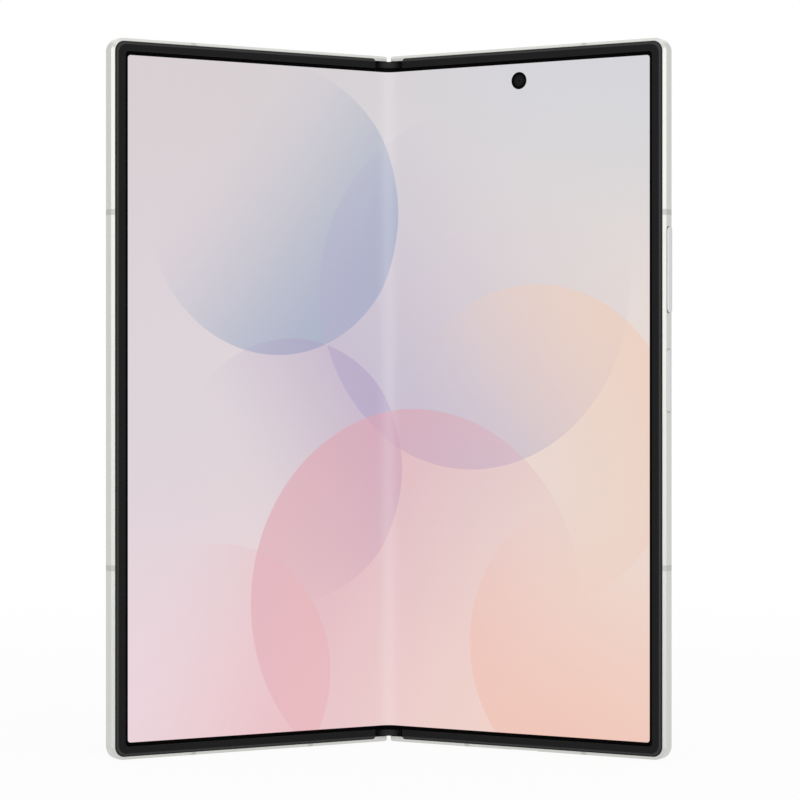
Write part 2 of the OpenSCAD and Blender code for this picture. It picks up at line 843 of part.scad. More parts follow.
// Two end plates and two thin partitions on a rear rib carry the four shafts
module gear_bracket() {
    inner = 1.05;
    part_t = row_gap - 2 * row_play;
    color("SlateGray") on_spine() difference() {
        union() {
            for (z = [gear_low, gear_low + gear_len - gear_plate_t]) translate([0, 0, z])
                linear_extrude(gear_plate_t) behind(bracket_face_y) spine_section(spine_in_r - 0.02);
            for (row = [1, 2]) translate([0, 0, row_low + row * row_step - row_gap + row_play])
                linear_extrude(part_t) intersection() {
                    behind(bracket_face_y) spine_section(spine_in_r - 0.02);
                    translate([-inner, 0]) square([2 * inner, 10]);
                }
            translate([-rib_w / 2, axis_y + spine_in_r - 0.02 - rib_t, gear_low])
                cube([rib_w, rib_t, gear_len]);
        }
        for (x = pinion_xs)
            translate([x, pinion_y, gear_low - 1]) cylinder(r = shaft_r + 0.01, h = gear_len + 2);
        for (side = [0, 1]) mirror([side, 0, 0]) translate([axis_x + rail_in_r + rail_t, 0, gear_low - 1])
            cube([4, spine_edge_y, gear_len + 2]);
    }
}

// Arm with inward teeth on a ring about the fold axis; shift moves its teeth by a share of a pitch
module toothed_arm(row, shift) {
    step = 360 / sector_teeth;
    low = row_low + row * row_step;
    root_r = pitch_r + dedendum;
    root_deg = asin((foot_y - axis_y) / sector_r);
    first = mesh_deg + shift * step;
    count_back = floor((first - sector_from_deg - step / 2) / step);
    count_on = floor((sector_to_deg - first - step / 2) / step);
    color("LightSteelBlue") {
        translate([axis_x, axis_y, low]) linear_extrude(tooth_row) {
            ring_part(root_r, sector_r, root_deg, 90);
            ring_part(root_r, sector_r, 80, sector_to_deg);
            ring_part(rail_in_r, sector_r, root_deg, sector_from_deg);
            for (k = [-count_back : count_on]) rotate(first + k * step)
                tooth(pitch_r - addendum, pitch_r, root_r + 0.03, 0.9 * tooth_module);
        }
        arm_foot(gear_low, gear_len, low, tooth_row);
    }
}

module right_toothed_arm() {
    on_right() toothed_arm(0, 0);
}

module left_toothed_arm() {
    on_left() toothed_arm(2, 0.5);
}

module hinge_screws() {
    color("Gray") for_foot_screws() {
        rod_y(screw_r, foot_y, foot_t + hinge_rail_t);
        difference() {
            rod_y(screw_head_r, foot_y, foot_t / 2);
            rod_y(screw_head_r / 3, foot_y - 1, 1.12);
        }
    }
}

module right_hinge_screws() {
    on_right() hinge_screws();
}

module left_hinge_screws() {
    on_left() hinge_screws();
}

// ---- support wings ----

// Two thin plates under the bend, each turning on its rolled outer edge
module wing() {
    len = wing_high - wing_low;
    color("LightSlateGray") both_ends() translate([bead_x, bead_y, wing_low]) rotate([0, 0, -wing_tilt]) {
        cylinder(r = bead_r, h = len);
        translate([wing_end_x - bead_x, -bead_r, 0]) cube([bead_x - wing_end_x, wing_t, len]);
    }
}

module right_wing() {
    on_right() wing();
}

module left_wing() {
    on_left() wing();
}

// ---- right half: rear side ----

module rear_panel() {
    inset = glass_inset + fit_gap;
    deep(glass_y, glass_t) half_outline(glass_x + fit_gap, inset, inset, corner_r - inset);
}

module island_outline(shrink) {
    translate([island_x, island_z])
        round_rect(island_w - 2 * shrink, island_h - 2 * shrink, island_w / 2 - shrink - 0.01);
}

module rear_glass() {
    color("WhiteSmoke") on_right() difference() {
        rear_panel();
        deep(glass_y - 1, glass_t + 2) island_outline(-fit_gap);
    }
}

// Section of the housing's rim, round at its rear edge
module island_section(w) {
    square([w - island_edge, island_rise]);
    square([w, island_rise - island_edge]);
    translate([w - island_edge, island_rise - island_edge]) circle(island_edge);
}

module for_cameras() {
    for (i = [0 : 2]) camera_place(i) children();
}

module camera_place(i) {
    translate([island_x, 0, island_z + (1 - i) * camera_pitch]) children();
}

// Raised rim in a cut-out of the rear glass, with a flange behind the glass
module camera_housing() {
    r = island_w / 2;
    flange_step = 0.35;
    straight = island_h - island_w;
    color(metal) on_right() difference() {
        union() {
            for (end = [-1, 1]) translate([island_x, island_y, island_z + end * straight / 2])
                rotate([-90, 0, 0]) rotate_extrude() intersection() {
                    island_section(r);
                    square([r, island_rise]);
                }
            for (side = [0, 1]) translate([island_x, island_y, island_z - straight / 2]) mirror([side, 0, 0])
                linear_extrude(straight) island_section(r);
            deep(glass_y - flange_step, glass_t + flange_step) island_outline(0.01);
            deep(glass_y - flange_step, flange_step) island_outline(-1);
        }
        for_cameras() rod_y(barrel_r + fit_gap, seat_y, island_y + island_rise);
        translate([flash_x, 0, flash_z]) rod_y(flash_r + fit_gap, seat_y, island_y + island_rise);
    }
}

// One camera: square base on the plate, round barrel up through the housing
module camera_module(i) {
    lens_r = 2.6;
    color("DarkSlateGray") on_right() camera_place(i) difference() {
        union() {
            rod_y(barrel_r, barrel_low_y - 0.05, island_y + island_rise - barrel_low_y - 0.2);
            deep(seat_y, barrel_low_y - seat_y) square(2 * barrel_r - 1, center = true);
        }
        rod_y(lens_r, island_y, 10);
        rod_y(lens_r + 2, island_y + island_rise - 1.2, 10);
    }
}

module camera_upper() {
    camera_module(0);
}

module camera_middle() {
    camera_module(1);
}

module camera_lower() {
    camera_module(2);
}

module camera_rings() {
    color("Silver") on_right() for_cameras() difference() {
        translate([0, island_y + island_rise, 0]) rotate([-90, 0, 0]) rotate_extrude()
            translate([barrel_r - 0.6, 0]) {
                square([1.1, ring_proud]);
                square([1.4, ring_proud - 0.3]);
                translate([1.1, ring_proud - 0.3]) circle(0.3, $fn = 32);
            }
        rod_y(barrel_r - 0.3, island_y + island_rise + 0.15, 2);
    }
}

module camera_glasses() {
    color("Black") on_right() for_cameras() rod_y(barrel_r - 0.35, island_y + island_rise + 0.15, 0.35);
}

module flash() {
    color("Ivory") on_right() translate([flash_x, 0, flash_z]) {
        rod_y(flash_r, island_y, island_rise - 0.02);
        rod_y(flash_r - 0.3, seat_y, island_y - seat_y + 0.1);
    }
}

// ---- right half: inside ----

module inner_camera() {
    color("Black") on_right() translate([inner_cam_x, 0, inner_cam_z]) difference() {
        union() {
            rod_y(punch_r - 0.12, screen_y + 0.12, seat_y - screen_y);
            deep(seat_y, 1.6) round_rect(5.6, 5.6, 0.5);
        }
        translate([0, screen_y - 1, 0]) rotate([-90, 0, 0]) cylinder(r1 = 0.9, r2 = 0.5, h = 1.5);
    }
}

module main_board() {
    notch = 3.4;
    color("ForestGreen") on_right() deep(seat_y, board_t) difference() {
        translate([board_x, cell_top + 1.5]) square([board_end_x - board_x, board_top - cell_top - 1.5]);
        translate([inner_cam_x - notch, inner_cam_z - notch]) square([2 * notch, body_h]);
        for (z = [cell_top + 5, board_top - 4], x = [board_x + 2.5]) translate([x, z]) circle(1);
    }
}

module shield_cans() {
    can_t = 1.1;
    wall = 0.2;
    edge = 6;
    w = board_end_x - board_x - edge - 2;
    top_y = seat_y + board_t + can_t;
    color("Silver") on_right() for (i = [0, 1])
        translate([board_x + edge, 0, cell_top + edge + i * (can_h + 3)]) difference() {
            box(0, w, seat_y + board_t, top_y, 0, can_h);
            box(wall, w - wall, 0, top_y - wall, wall, can_h - wall);
        }
}

// Pouch cell: thick body with a thinner sealed ledge and two tabs at its top
module battery(end_x) {
    ledge = 2;
    r = 1.2;
    w = end_x - cell_x;
    h = cell_top - cell_low;
    color("DimGray") {
        deep(seat_y, cell_t)
            translate([cell_x + w / 2, cell_low + (h - ledge) / 2]) round_rect(w, h - ledge, r);
        deep(seat_y + 0.5, 0.8) translate([cell_x + w / 2, cell_top - ledge / 2 - r])
            square([w - 3 * r, ledge + 2 * r], center = true);
    }
}

module right_battery() {
    on_right() battery(cell_end_x);
}

module charging_coil() {
    mid_x = (cell_x + cell_end_x) / 2;
    color("Peru") on_right() translate([mid_x, 0, (cell_low + cell_top) / 2 - 2]) difference() {
        rod_y(coil_r, seat_y + cell_t, 0.2);
        rod_y(coil_in_r, seat_y, half_t);
    }
}

// Key cap with an inner flange that keeps it in the rail
module key_body(len, proud) {
    wide(flange_x + flange_t / 2, half_w + proud - flange_x - flange_t / 2)
        round_rect(key_w, len, key_w / 2 - 0.02);
    box(flange_x, flange_x + flange_t, -key_w / 2 - flange_over / 2, key_w / 2 + flange_over / 2,
        -len / 2 - flange_over, len / 2 + flange_over);
}

module volume_key() {
    color(metal) on_right() translate([0, key_y, volume_z]) key_body(volume_len, volume_proud);
}

module power_key() {
    color(metal) on_right() translate([0, key_y, power_z]) key_body(power_len, power_proud);
}

// Three switches on a strip that stands on the plate beside the rail
module key_switches() {
    strip_t = 0.3;
    dome_end = room_end_x - 0.05;
    dome_w = 1.2;
    dome_len = 2.4;
    apart = volume_len / 3;
    color("DarkGoldenrod") on_right() {
        box(switch_x, switch_x + strip_t, seat_y, seat_y + 1.6, power_z - apart, volume_z + apart + dome_len);
        for (z = [volume_z - apart, volume_z + apart, power_z])
            box(switch_x + strip_t, dome_end, key_y - dome_w / 2, key_y + dome_w / 2,
                z - dome_len / 2, z + dome_len / 2);
    }
}

module sub_board() {
    clear = port_out_w / 2 + 0.3;
    top = cell_low - 1.5;
    color("ForestGreen") on_right() deep(seat_y, board_t) difference() {
        translate([board_x, rail_w + 0.3]) square([sub_end_x - board_x, top - rail_w - 0.3]);
        translate([port_x - clear, 0]) square([2 * clear, port_len + 0.6]);
    }
}

module usb_shell() {
    color("Silver") on_right() translate([port_x, port_y, port_face_z]) difference() {
        linear_extrude(port_len) port_outline(port_wall);
        translate([0, 0, -1]) linear_extrude(port_len + 1 - 0.3) port_outline(0);
    }
}

module usb_tongue() {
    color(black) on_right() translate([port_x, port_y, port_face_z]) {
        translate([-3.3, -0.35, 0.7]) cube([6.6, 0.7, port_len - 1]);
        translate([0, 0, port_len - 1.8]) linear_extrude(1.5) port_outline(-0.02);
    }
}

// Speaker box with a nozzle against the holes in the rail
module lower_speaker() {
    w = lower_speaker_w;
    color(black) on_right() {
        translate([lower_speaker_x, 0, 0]) {
            box(-w / 2, w / 2, seat_y, seat_y + 1.8, rail_w + 0.3, cell_low - 2);
            box(2 - w / 2, w / 2 - 2, seat_y, key_y + 0.8, rail_w, rail_w + 0.5);
        }
    }
}

module magnets() {
    x = cell_end_x + 0.5;
    color("Silver") for (z = [cell_low + magnet_len / 3, cell_low + magnet_len * 5 / 3])
        box(x, x + magnet_w, seat_y, seat_y + 1.5, z, z + magnet_len);
}

module right_magnets() {
    on_right() magnets();
}

module left_magnets() {
    on_left() magnets();
}

// ---- left half ----

module cover_glass() {
    color("Black") on_left() rear_panel();
}

module cover_display() {
    inset = glass_inset + 1.2;
    color([0.1, 0.1, 0.12]) on_left() difference() {
        deep(glass_y - 0.3, 0.3) half_outline(room_x + 0.4, inset, inset, 1.2);
        translate([cover_cam_x, 0, cover_cam_z]) rod_y(cover_cam_r, 0, half_t);
    }
}

module cover_camera() {
    color("Black") on_left() translate([cover_cam_x, 0, cover_cam_z]) {
        rod_y(cover_cam_r - 0.1, seat_y + 1, glass_y - seat_y - 1.05);
        deep(seat_y, 1.3) round_rect(cover_cam_w, cover_cam_w, 0.5);
    }
}

module left_battery() {
    on_left() battery(cell_end_x);
}

module left_board() {
    color("ForestGreen") on_left() deep(seat_y, board_t) difference() {
        translate([board_x, cell_top + 1.5]) square([room_end_x - 1 - board_x, board_top - cell_top - 1.5]);
        translate([cover_cam_x - cover_cam_w / 2 - 0.5, cover_cam_z - 3]) square([cover_cam_w + 1, body_h]);
        translate([earpiece_x - earpiece_w / 2 - 0.5, earpiece_low - 0.5]) square([earpiece_w + 1, body_h]);
        translate([tray_x - tray_w / 2 - 3, body_h - tray_len - 4]) square([tray_w + 4, body_h]);
    }
}

// Tray with a head that closes the slot and an open card bay
module sim_tray() {
    bay_w = 12.5;
    body_w = tray_w - 0.8;
    color(metal) on_left() translate([tray_x, tray_y, 0]) {
        translate([0, 0, body_h - tray_head])
            linear_extrude(tray_head) round_rect(tray_w, tray_t, tray_t / 2 - 0.02);
        difference() {
            translate([-body_w / 2, -tray_card_t / 2, body_h - tray_len])
                cube([body_w, tray_card_t, tray_len - tray_head / 2]);
            translate([-bay_w / 2, -tray_card_t, body_h - tray_len + 1.2]) cube([bay_w, 2 * tray_card_t, 9]);
            translate([-bay_w / 2 - 0.25, -tray_card_t, body_h - tray_len + 1])
                cube([bay_w + 0.5, tray_card_t, 9.4]);
        }
    }
}

// Metal cage around the tray: floor, two sides and an end
module sim_reader() {
    wall = 0.25;
    inner_w = tray_w - 0.8 + 2 * fit_gap;
    low = body_h - tray_len - 1;
    top = body_h - rail_w - 0.05;
    color("Silver") on_left() translate([tray_x, 0, 0]) difference() {
        box(-inner_w / 2 - wall, inner_w / 2 + wall, seat_y, tray_y + tray_card_t / 2, low, top);
        box(-inner_w / 2, inner_w / 2, tray_y - tray_card_t / 2 - fit_gap, half_t, low + 0.5, top + 1);
    }
}

module earpiece() {
    w = earpiece_w;
    color(black) on_left() {
        translate([earpiece_x, 0, 0]) {
            box(-w / 2, w / 2, seat_y, seat_y + 1.7, earpiece_low, body_h - rail_w - 0.3);
            box(1 - w / 2, w / 2 - 1, seat_y, key_y + 0.7, body_h - rail_w - 0.5, body_h - rail_w);
        }
    }
}

spine_cover();
hinge_cap_top();
hinge_cap_bottom();
rail_bracket_upper();
rail_bracket_lower();
gear_bracket();
gear_shafts();
pinion_left_outer();
pinion_left_inner();
pinion_right_inner();
pinion_right_outer();
display_fold();
right_frame();
right_antenna_bands();
right_bezel();
display_right();
right_arm_upper();
right_arm_lower();
right_toothed_arm();
right_hinge_screws();
right_wing();
rear_glass();
camera_housing();
camera_upper();
camera_middle();
camera_lower();
camera_rings();
camera_glasses();
flash();
inner_camera();
main_board();
shield_cans();
right_battery();
charging_coil();
volume_key();
power_key();
key_switches();
sub_board();
usb_shell();
usb_tongue();
lower_speaker();
right_magnets();
left_frame();
left_antenna_bands();
left_bezel();
display_left();
left_arm_upper();
left_arm_lower();
left_toothed_arm();
left_hinge_screws();
left_wing();
cover_glass();
cover_display();
cover_camera();
left_battery();
left_board();
sim_tray();
sim_reader();
earpiece();
left_magnets();
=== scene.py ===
import json
import math

import bmesh
import bpy
import numpy as np
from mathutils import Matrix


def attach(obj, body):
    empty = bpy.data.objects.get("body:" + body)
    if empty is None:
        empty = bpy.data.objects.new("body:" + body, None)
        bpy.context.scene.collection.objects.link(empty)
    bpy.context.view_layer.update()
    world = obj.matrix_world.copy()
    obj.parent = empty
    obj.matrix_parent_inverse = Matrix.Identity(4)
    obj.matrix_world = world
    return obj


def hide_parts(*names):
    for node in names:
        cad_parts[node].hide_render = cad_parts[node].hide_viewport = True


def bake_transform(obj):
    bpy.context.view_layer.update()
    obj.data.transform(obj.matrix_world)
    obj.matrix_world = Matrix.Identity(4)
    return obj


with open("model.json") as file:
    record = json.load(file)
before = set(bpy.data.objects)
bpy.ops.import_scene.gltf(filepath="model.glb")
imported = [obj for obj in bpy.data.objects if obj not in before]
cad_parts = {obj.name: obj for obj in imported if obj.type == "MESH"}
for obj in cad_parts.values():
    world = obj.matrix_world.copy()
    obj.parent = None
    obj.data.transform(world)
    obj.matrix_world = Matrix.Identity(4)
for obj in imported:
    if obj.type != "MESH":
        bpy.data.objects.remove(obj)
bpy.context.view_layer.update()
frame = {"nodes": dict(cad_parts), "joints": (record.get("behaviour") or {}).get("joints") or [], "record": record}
cadNodes = frame["nodes"]
foldAxis = next(j for j in frame["joints"] if j["name"] == "right_fold")["pos_m"]
print("frame loaded,", len(cadNodes), "nodes")

# How the flat drawing of a half lies in the half open phone: x outward, y rearward, z up
phone = {
    "tilt": math.radians(32),  # each half, away from flat
    "axisX": foldAxis[0],
    "axisY": foldAxis[1],
    "axisDepth": 0.00125,  # fold axis behind the bezel's face
}
tiltCos, tiltSin = math.cos(phone["tilt"]), math.sin(phone["tilt"])
millimetre = 0.001

# Meshes: places told apart per metre, what counts as touching, the angle of a sharp edge, steps round a
# turned piece, and metres per unit of its map
meshing = {"grid": 1e8, "near": 1e-7, "sharp": math.radians(35), "turns": 64, "turnedUnit": 0.01}


def onHalf(points, side):
    # Flat half coordinates turned about the fold axis by the tilt; side is 1 on the right and -1 on the left
    u = points[..., 0] - phone["axisX"]
    v = points[..., 1] - phone["axisDepth"]
    x = side * (phone["axisX"] + u * tiltCos + v * tiltSin)
    y = phone["axisY"] - u * tiltSin + v * tiltCos
    return np.stack([x, y, points[..., 2]], axis=-1)


def gridFaces(rows, columns, closed=False):
    # Quads between the points of a grid; closed joins the last column to the first
    index = np.arange(rows * columns).reshape(rows, columns)
    right = np.roll(index, -1, axis=1)
    if not closed:
        index, right = index[:, :-1], right[:, :-1]
    return np.stack([index[:-1], right[:-1], right[1:], index[1:]], axis=-1).reshape(-1, 4)


def mergeDoubles(points, faces):
    # Points that round to the same place become one, and faces point at it
    keys = np.round(points * meshing["grid"]).astype(np.int64)
    _, first, back = np.unique(keys, axis=0, return_index=True, return_inverse=True)
    return first, back.reshape(-1)[faces]


def openEdges(faces):
    # Edges that only one face has, in that face's direction
    edges = np.stack([faces, np.roll(faces, -1, axis=1)], axis=-1).reshape(-1, 2)
    _, where, count = np.unique(np.sort(edges, axis=1), axis=0, return_index=True, return_counts=True)
    return edges[where[count == 1]]


def meshPiece(name, points, faces, uv=None, mapName="screenMap"):
    # One mesh object from arrays: doubles merged, collapsed quads made triangles, normals outwards
    first, faces = mergeDoubles(points, faces)
    doubled = faces == np.roll(faces, -1, axis=1)
    whole = faces[doubled.sum(axis=1) == 0]
    three = doubled.sum(axis=1) == 1
    corners = faces[three][~doubled[three]].reshape(-1, 3)
    mesh = bpy.data.meshes.new(name)
    mesh.from_pydata(points[first].tolist(), [], whole.tolist() + corners.tolist())
    shell = bmesh.new()
    shell.from_mesh(mesh)
    bmesh.ops.recalc_face_normals(shell, faces=shell.faces)
    shell.to_mesh(mesh)
    shell.free()
    if uv is not None:
        layer = mesh.uv_layers.new(name=mapName)
        at = np.zeros(len(mesh.loops), np.int32)
        mesh.loops.foreach_get("vertex_index", at)
        layer.data.foreach_set("uv", uv[first][at].astype(np.float32).ravel())
    mesh.polygons.foreach_set("use_smooth", np.ones(len(mesh.polygons), bool))
    mesh.set_sharp_from_angle(angle=meshing["sharp"])
    piece = bpy.data.objects.new(name, mesh)
    bpy.context.scene.collection.objects.link(piece)
    return piece


def turnedPiece(name, profile, centres):
    # A profile of (radius, depth) in millimetres, turned about the line through each centre that is square to
    # the right half; its map holds the radius and the share of the turn
    profile = np.array(profile, float) * millimetre
    angle = np.linspace(0, 2 * math.pi, meshing["turns"], endpoint=False)
    radius, depth = profile[:, :1], profile[:, 1:]
    turned = np.stack([radius * np.cos(angle), depth + 0 * angle, radius * np.sin(angle)], axis=-1)
    turned = turned.reshape(-1, 3)
    middles = np.array([(x, 0, z) for x, z in centres])
    flat = (middles[:, None, :] + turned[None]).reshape(-1, 3)
    uv = np.stack([radius / meshing["turnedUnit"] + 0 * angle, 0 * radius + angle / (2 * math.pi)], axis=-1)
    uv = np.tile(uv.reshape(-1, 2), (len(middles), 1))
    ring = gridFaces(len(profile), meshing["turns"], closed=True)
    faces = (ring[None] + len(turned) * np.arange(len(middles))[:, None, None]).reshape(-1, 4)
    piece = meshPiece(name, onHalf(flat, 1), faces, uv, "turnedMap")
    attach(piece, "right_half")
    return piece


def dressPiece(piece, material):
    # The piece's material and its slot
    piece.data.materials.append(material)


def srgb(red, green, blue):
    # Colour as seen on a screen, 0 to 255, to the numbers that a socket takes
    seen = np.array([red, green, blue]) / 255
    return (*np.where(seen > 0.04045, ((seen + 0.055) / 1.055) ** 2.4, seen / 12.92), 1.0)


white = (1, 1, 1, 1)


def shaded(colour, factor):
    # The colour made darker or lighter, at most white
    return tuple(min(v * factor, 1) for v in colour[:3]) + (1,)


def feed(tree, socket, value):
    # A link into the socket where the value is a node's output, else a fixed value
    if isinstance(value, bpy.types.NodeSocket):
        tree.links.new(value, socket)
    else:
        socket.default_value = value


def addNode(tree, kind, settings=None, sockets=None):
    # A shader node with its settings, and a number, colour or link for each named input
    node = tree.nodes.new("ShaderNode" + kind)
    for key, value in (settings or {}).items():
        setattr(node, key, value)
    for key, value in (sockets or {}).items():
        feed(tree, node.inputs[key], value)
    return node


def calc(tree, operation, *values):
    # One sum on numbers or links
    node = addNode(tree, "Math", {"operation": operation})
    for socket, value in zip(node.inputs, values):
        feed(tree, socket, value)
    return node.outputs[0]


def plusShare(tree, base, value, share):
    # base + share * value
    return calc(tree, "ADD", base, calc(tree, "MULTIPLY", value, share))


def vectorCalc(tree, operation, *values):
    # One sum on vectors; lengths, distances and dot products give a number
    node = addNode(tree, "VectorMath", {"operation": operation})
    for socket, value in zip(node.inputs, values):
        feed(tree, socket, value)
    return node.outputs["Value" if operation in ("LENGTH", "DOT_PRODUCT", "DISTANCE") else "Vector"]


def splitVector(tree, value):
    # The three parts of a vector, by name
    return addNode(tree, "SeparateXYZ", None, {"Vector": value}).outputs


def remap(tree, value, fromLow, fromHigh, toLow, toHigh, kind="SMOOTHSTEP"):
    # The value carried from one range to another and held at its ends
    names = ("Value", "From Min", "From Max", "To Min", "To Max")
    sockets = dict(zip(names, (value, fromLow, fromHigh, toLow, toHigh)))
    return addNode(tree, "MapRange", {"interpolation_type": kind}, sockets).outputs["Result"]


mixSockets = {"under": 6, "over": 7, "result": 2}  # the colour sockets of a Mix node, whose names repeat


def mixColours(tree, amount, under, over):
    # From one colour to another by the amount, 0 to 1
    node = addNode(tree, "Mix", {"data_type": "RGBA"}, {"Factor": amount})
    feed(tree, node.inputs[mixSockets["under"]], under)
    feed(tree, node.inputs[mixSockets["over"]], over)
    return node.outputs[mixSockets["result"]]


def newGroup(name, inputs, outputs):
    # An empty shader group, with the kind of each named input and output
    tree = bpy.data.node_groups.new(name, "ShaderNodeTree")
    for sockets, way in ((inputs, "INPUT"), (outputs, "OUTPUT")):
        for key, kind in sockets.items():
            tree.interface.new_socket(name=key, in_out=way, socket_type="NodeSocket" + kind)
    return tree, tree.nodes.new("NodeGroupInput").outputs, tree.nodes.new("NodeGroupOutput").inputs


def place(tree, group, sockets):
    # A group set into a material, with its inputs fed
    return addNode(tree, "Group", {"node_tree": group}, sockets).outputs


def newMaterial(name, fixed):
    # A material, its Principled shader with fixed values on the sockets, and the object's coordinates
    material = bpy.data.materials.new(name)
    material.use_nodes = True
    tree = material.node_tree
    shader = tree.nodes["Principled BSDF"]
    for key, value in fixed.items():
        shader.inputs[key].default_value = value
    return material, tree, shader, addNode(tree, "TexCoord").outputs["Object"]


def finishShader(tree, shader, colour, rough):
    # The shader's colour and roughness
    feed(tree, shader.inputs["Base Color"], colour)
    feed(tree, shader.inputs["Roughness"], rough)


def addBump(tree, shader, height, bump, normal=None):
    # Relief from a height of 0 to 1; bump is its strength and its depth in metres
    sockets = {"Strength": bump[0], "Distance": bump[1], "Height": height}
    if normal is not None:
        sockets["Normal"] = normal
    relief = addNode(tree, "Bump", None, sockets)
    tree.links.new(relief.outputs["Normal"], shader.inputs["Normal"])


# Effects that materials share; a detail pair is for the wide and the fine noise
effects = {
    "grainFiner": 3.1, "grainWide": 0.65, "grainDetail": (2.0, 1.0),
    "marksFiner": 9.0, "marksRange": (0.42, 0.68), "marksDetail": (3.0, 2.0), "marksWarp": 0.6,
    "linesDetail": 3.0, "edgeSamples": 4, "edgeRange": (0.02, 0.25),
    "discRim": 0.006,  # softness of a disc's edge, as a share of its radius
}


def noiseAt(tree, where, scale, detail, warp=0.0):
    # One noise value, 0.5 on average
    sockets = {"Vector": where, "Scale": scale, "Detail": detail, "Distortion": warp}
    return addNode(tree, "TexNoise", None, sockets).outputs[0]


def makeGrain():
    # Fine even grain: a noise and one three times finer, added and centred on zero
    inputs = {"Where": "Vector", "Scale": "Float"}
    tree, given, out = newGroup("fineGrain", inputs, {"Value": "Float", "Height": "Float"})
    wideDetail, fineDetail = effects["grainDetail"]
    wide = noiseAt(tree, given["Where"], given["Scale"], wideDetail)
    finer = calc(tree, "MULTIPLY", given["Scale"], effects["grainFiner"])
    fine = noiseAt(tree, given["Where"], finer, fineDetail)
    both = plusShare(tree, calc(tree, "MULTIPLY", wide, effects["grainWide"]), fine, 1 - effects["grainWide"])
    tree.links.new(calc(tree, "SUBTRACT", both, 0.5), out["Value"])
    tree.links.new(both, out["Height"])
    return tree


def makeHandling():
    # Faint marks of handling: a warped soft noise cut to patches, times a finer one; 0 clean to 1 touched
    inputs = {"Where": "Vector", "Scale": "Float", "Amount": "Float"}
    tree, given, out = newGroup("handlingMarks", inputs, {"Mask": "Float"})
    wideDetail, fineDetail = effects["marksDetail"]
    wide = noiseAt(tree, given["Where"], given["Scale"], wideDetail, effects["marksWarp"])
    patches = remap(tree, wide, *effects["marksRange"], 0.0, 1.0)
    finer = calc(tree, "MULTIPLY", given["Scale"], effects["marksFiner"])
    fine = noiseAt(tree, given["Where"], finer, fineDetail)
    touched = calc(tree, "MULTIPLY", patches, fine)
    tree.links.new(calc(tree, "MULTIPLY", touched, given["Amount"]), out["Mask"])
    return tree


def makeBrushing():
    # Lines along one direction: a noise drawn out along the axis that has the small share in Across
    inputs = {"Where": "Vector", "Across": "Vector", "Scale": "Float"}
    tree, given, out = newGroup("brushedLines", inputs, {"Height": "Float", "Value": "Float"})
    squeezed = vectorCalc(tree, "MULTIPLY", given["Where"], given["Across"])
    lines = noiseAt(tree, squeezed, given["Scale"], effects["linesDetail"])
    tree.links.new(lines, out["Height"])
    tree.links.new(calc(tree, "SUBTRACT", lines, 0.5), out["Value"])
    return tree


def makeEdges():
    # Where an edge lies within a small radius: how far the rounded normal leans from the true one
    tree, given, out = newGroup("edgeCatch", {"Radius": "Float"}, {"Mask": "Float", "Normal": "Vector"})
    bevel = addNode(tree, "Bevel", {"samples": effects["edgeSamples"]}, {"Radius": given["Radius"]})
    rounded, trueNormal = bevel.outputs[0], addNode(tree, "NewGeometry").outputs["Normal"]
    lean = calc(tree, "SUBTRACT", 1.0, vectorCalc(tree, "DOT_PRODUCT", rounded, trueNormal))
    tree.links.new(remap(tree, lean, *effects["edgeRange"], 0.0, 1.0), out["Mask"])
    tree.links.new(rounded, out["Normal"])
    return tree


def makeDisc():
    # A see-through disc over a colour: clear before From, in radii along Toward, fullest at its crisp rim
    inputs = {
        "Where": "Vector", "Centre": "Vector", "Radius": "Float", "Toward": "Vector", "From": "Float",
        "Amount": "Float", "Tint": "Color", "Under": "Color",
    }
    tree, given, out = newGroup("softDisc", inputs, {"Color": "Color"})
    away = vectorCalc(tree, "SUBTRACT", given["Where"], given["Centre"])
    reach = calc(tree, "DIVIDE", vectorCalc(tree, "LENGTH", away), given["Radius"])
    inside = remap(tree, reach, 1 - effects["discRim"], 1.0, 1.0, 0.0)
    along = calc(tree, "DIVIDE", vectorCalc(tree, "DOT_PRODUCT", away, given["Toward"]), given["Radius"])
    shade = remap(tree, along, given["From"], 1.0, 0.0, 1.0)
    amount = calc(tree, "MULTIPLY", calc(tree, "MULTIPLY", inside, shade), given["Amount"])
    tree.links.new(mixColours(tree, amount, given["Under"], given["Tint"]), out["Color"])
    return tree


grain, handling, brushing, edges, disc = makeGrain(), makeHandling(), makeBrushing(), makeEdges(), makeDisc()
print("shared effects made")


def grainAt(tree, where, scale):
    # Grain set into a material
    return place(tree, grain, {"Where": where, "Scale": scale})


def grainedRough(tree, speck, look):
    # Roughness that the grain makes uneven
    return plusShare(tree, look["rough"], speck["Value"], look["gloss"])


def markedRough(tree, where, rough, marks):
    # Roughness that marks of handling make uneven, by their scale, amount and share
    scale, amount, share = marks
    mask = place(tree, handling, {"Where": where, "Scale": scale, "Amount": amount})["Mask"]
    return plusShare(tree, rough, mask, share)


screenUnit, foldAt = 0.16, 0.5  # metres per unit of the screen's map, and the fold's place across it

picture = {
    "topLeft": srgb(216, 208, 211), "topRight": srgb(214, 214, 218),
    "middleLeft": srgb(221, 212, 218), "middleRight": srgb(232, 219, 213),
    "lowLeft": srgb(236, 214, 221), "lowRight": srgb(240, 211, 198),
    "halfWidth": 0.06783, "low": 0.00375, "high": 0.15468, "corner": 0.0007,  # the lit area
    "rim": 0.0004,  # softness of its edge, in units of the map
    "holeRim": (0.00006, 0.00012),  # where the light starts, outside the punch hole
    # The sheen is a painted highlight: the colour mixed toward white near the crease
    "paintedSheen": 0.11, "paintedSheenReach": 0.0042,  # pale sheen along the crease
    "emission": 0.79, "faceShare": 0.26,  # light of its own, and the face's share of the colour
    "dark": (0.0006, 0.0004, 0.0004, 1), "darkFace": (0.0006, 0.0005, 0.0005, 1),
    "specular": 0.02, "rough": 0.26, "marks": (45.0, 0.3, 0.3),
}
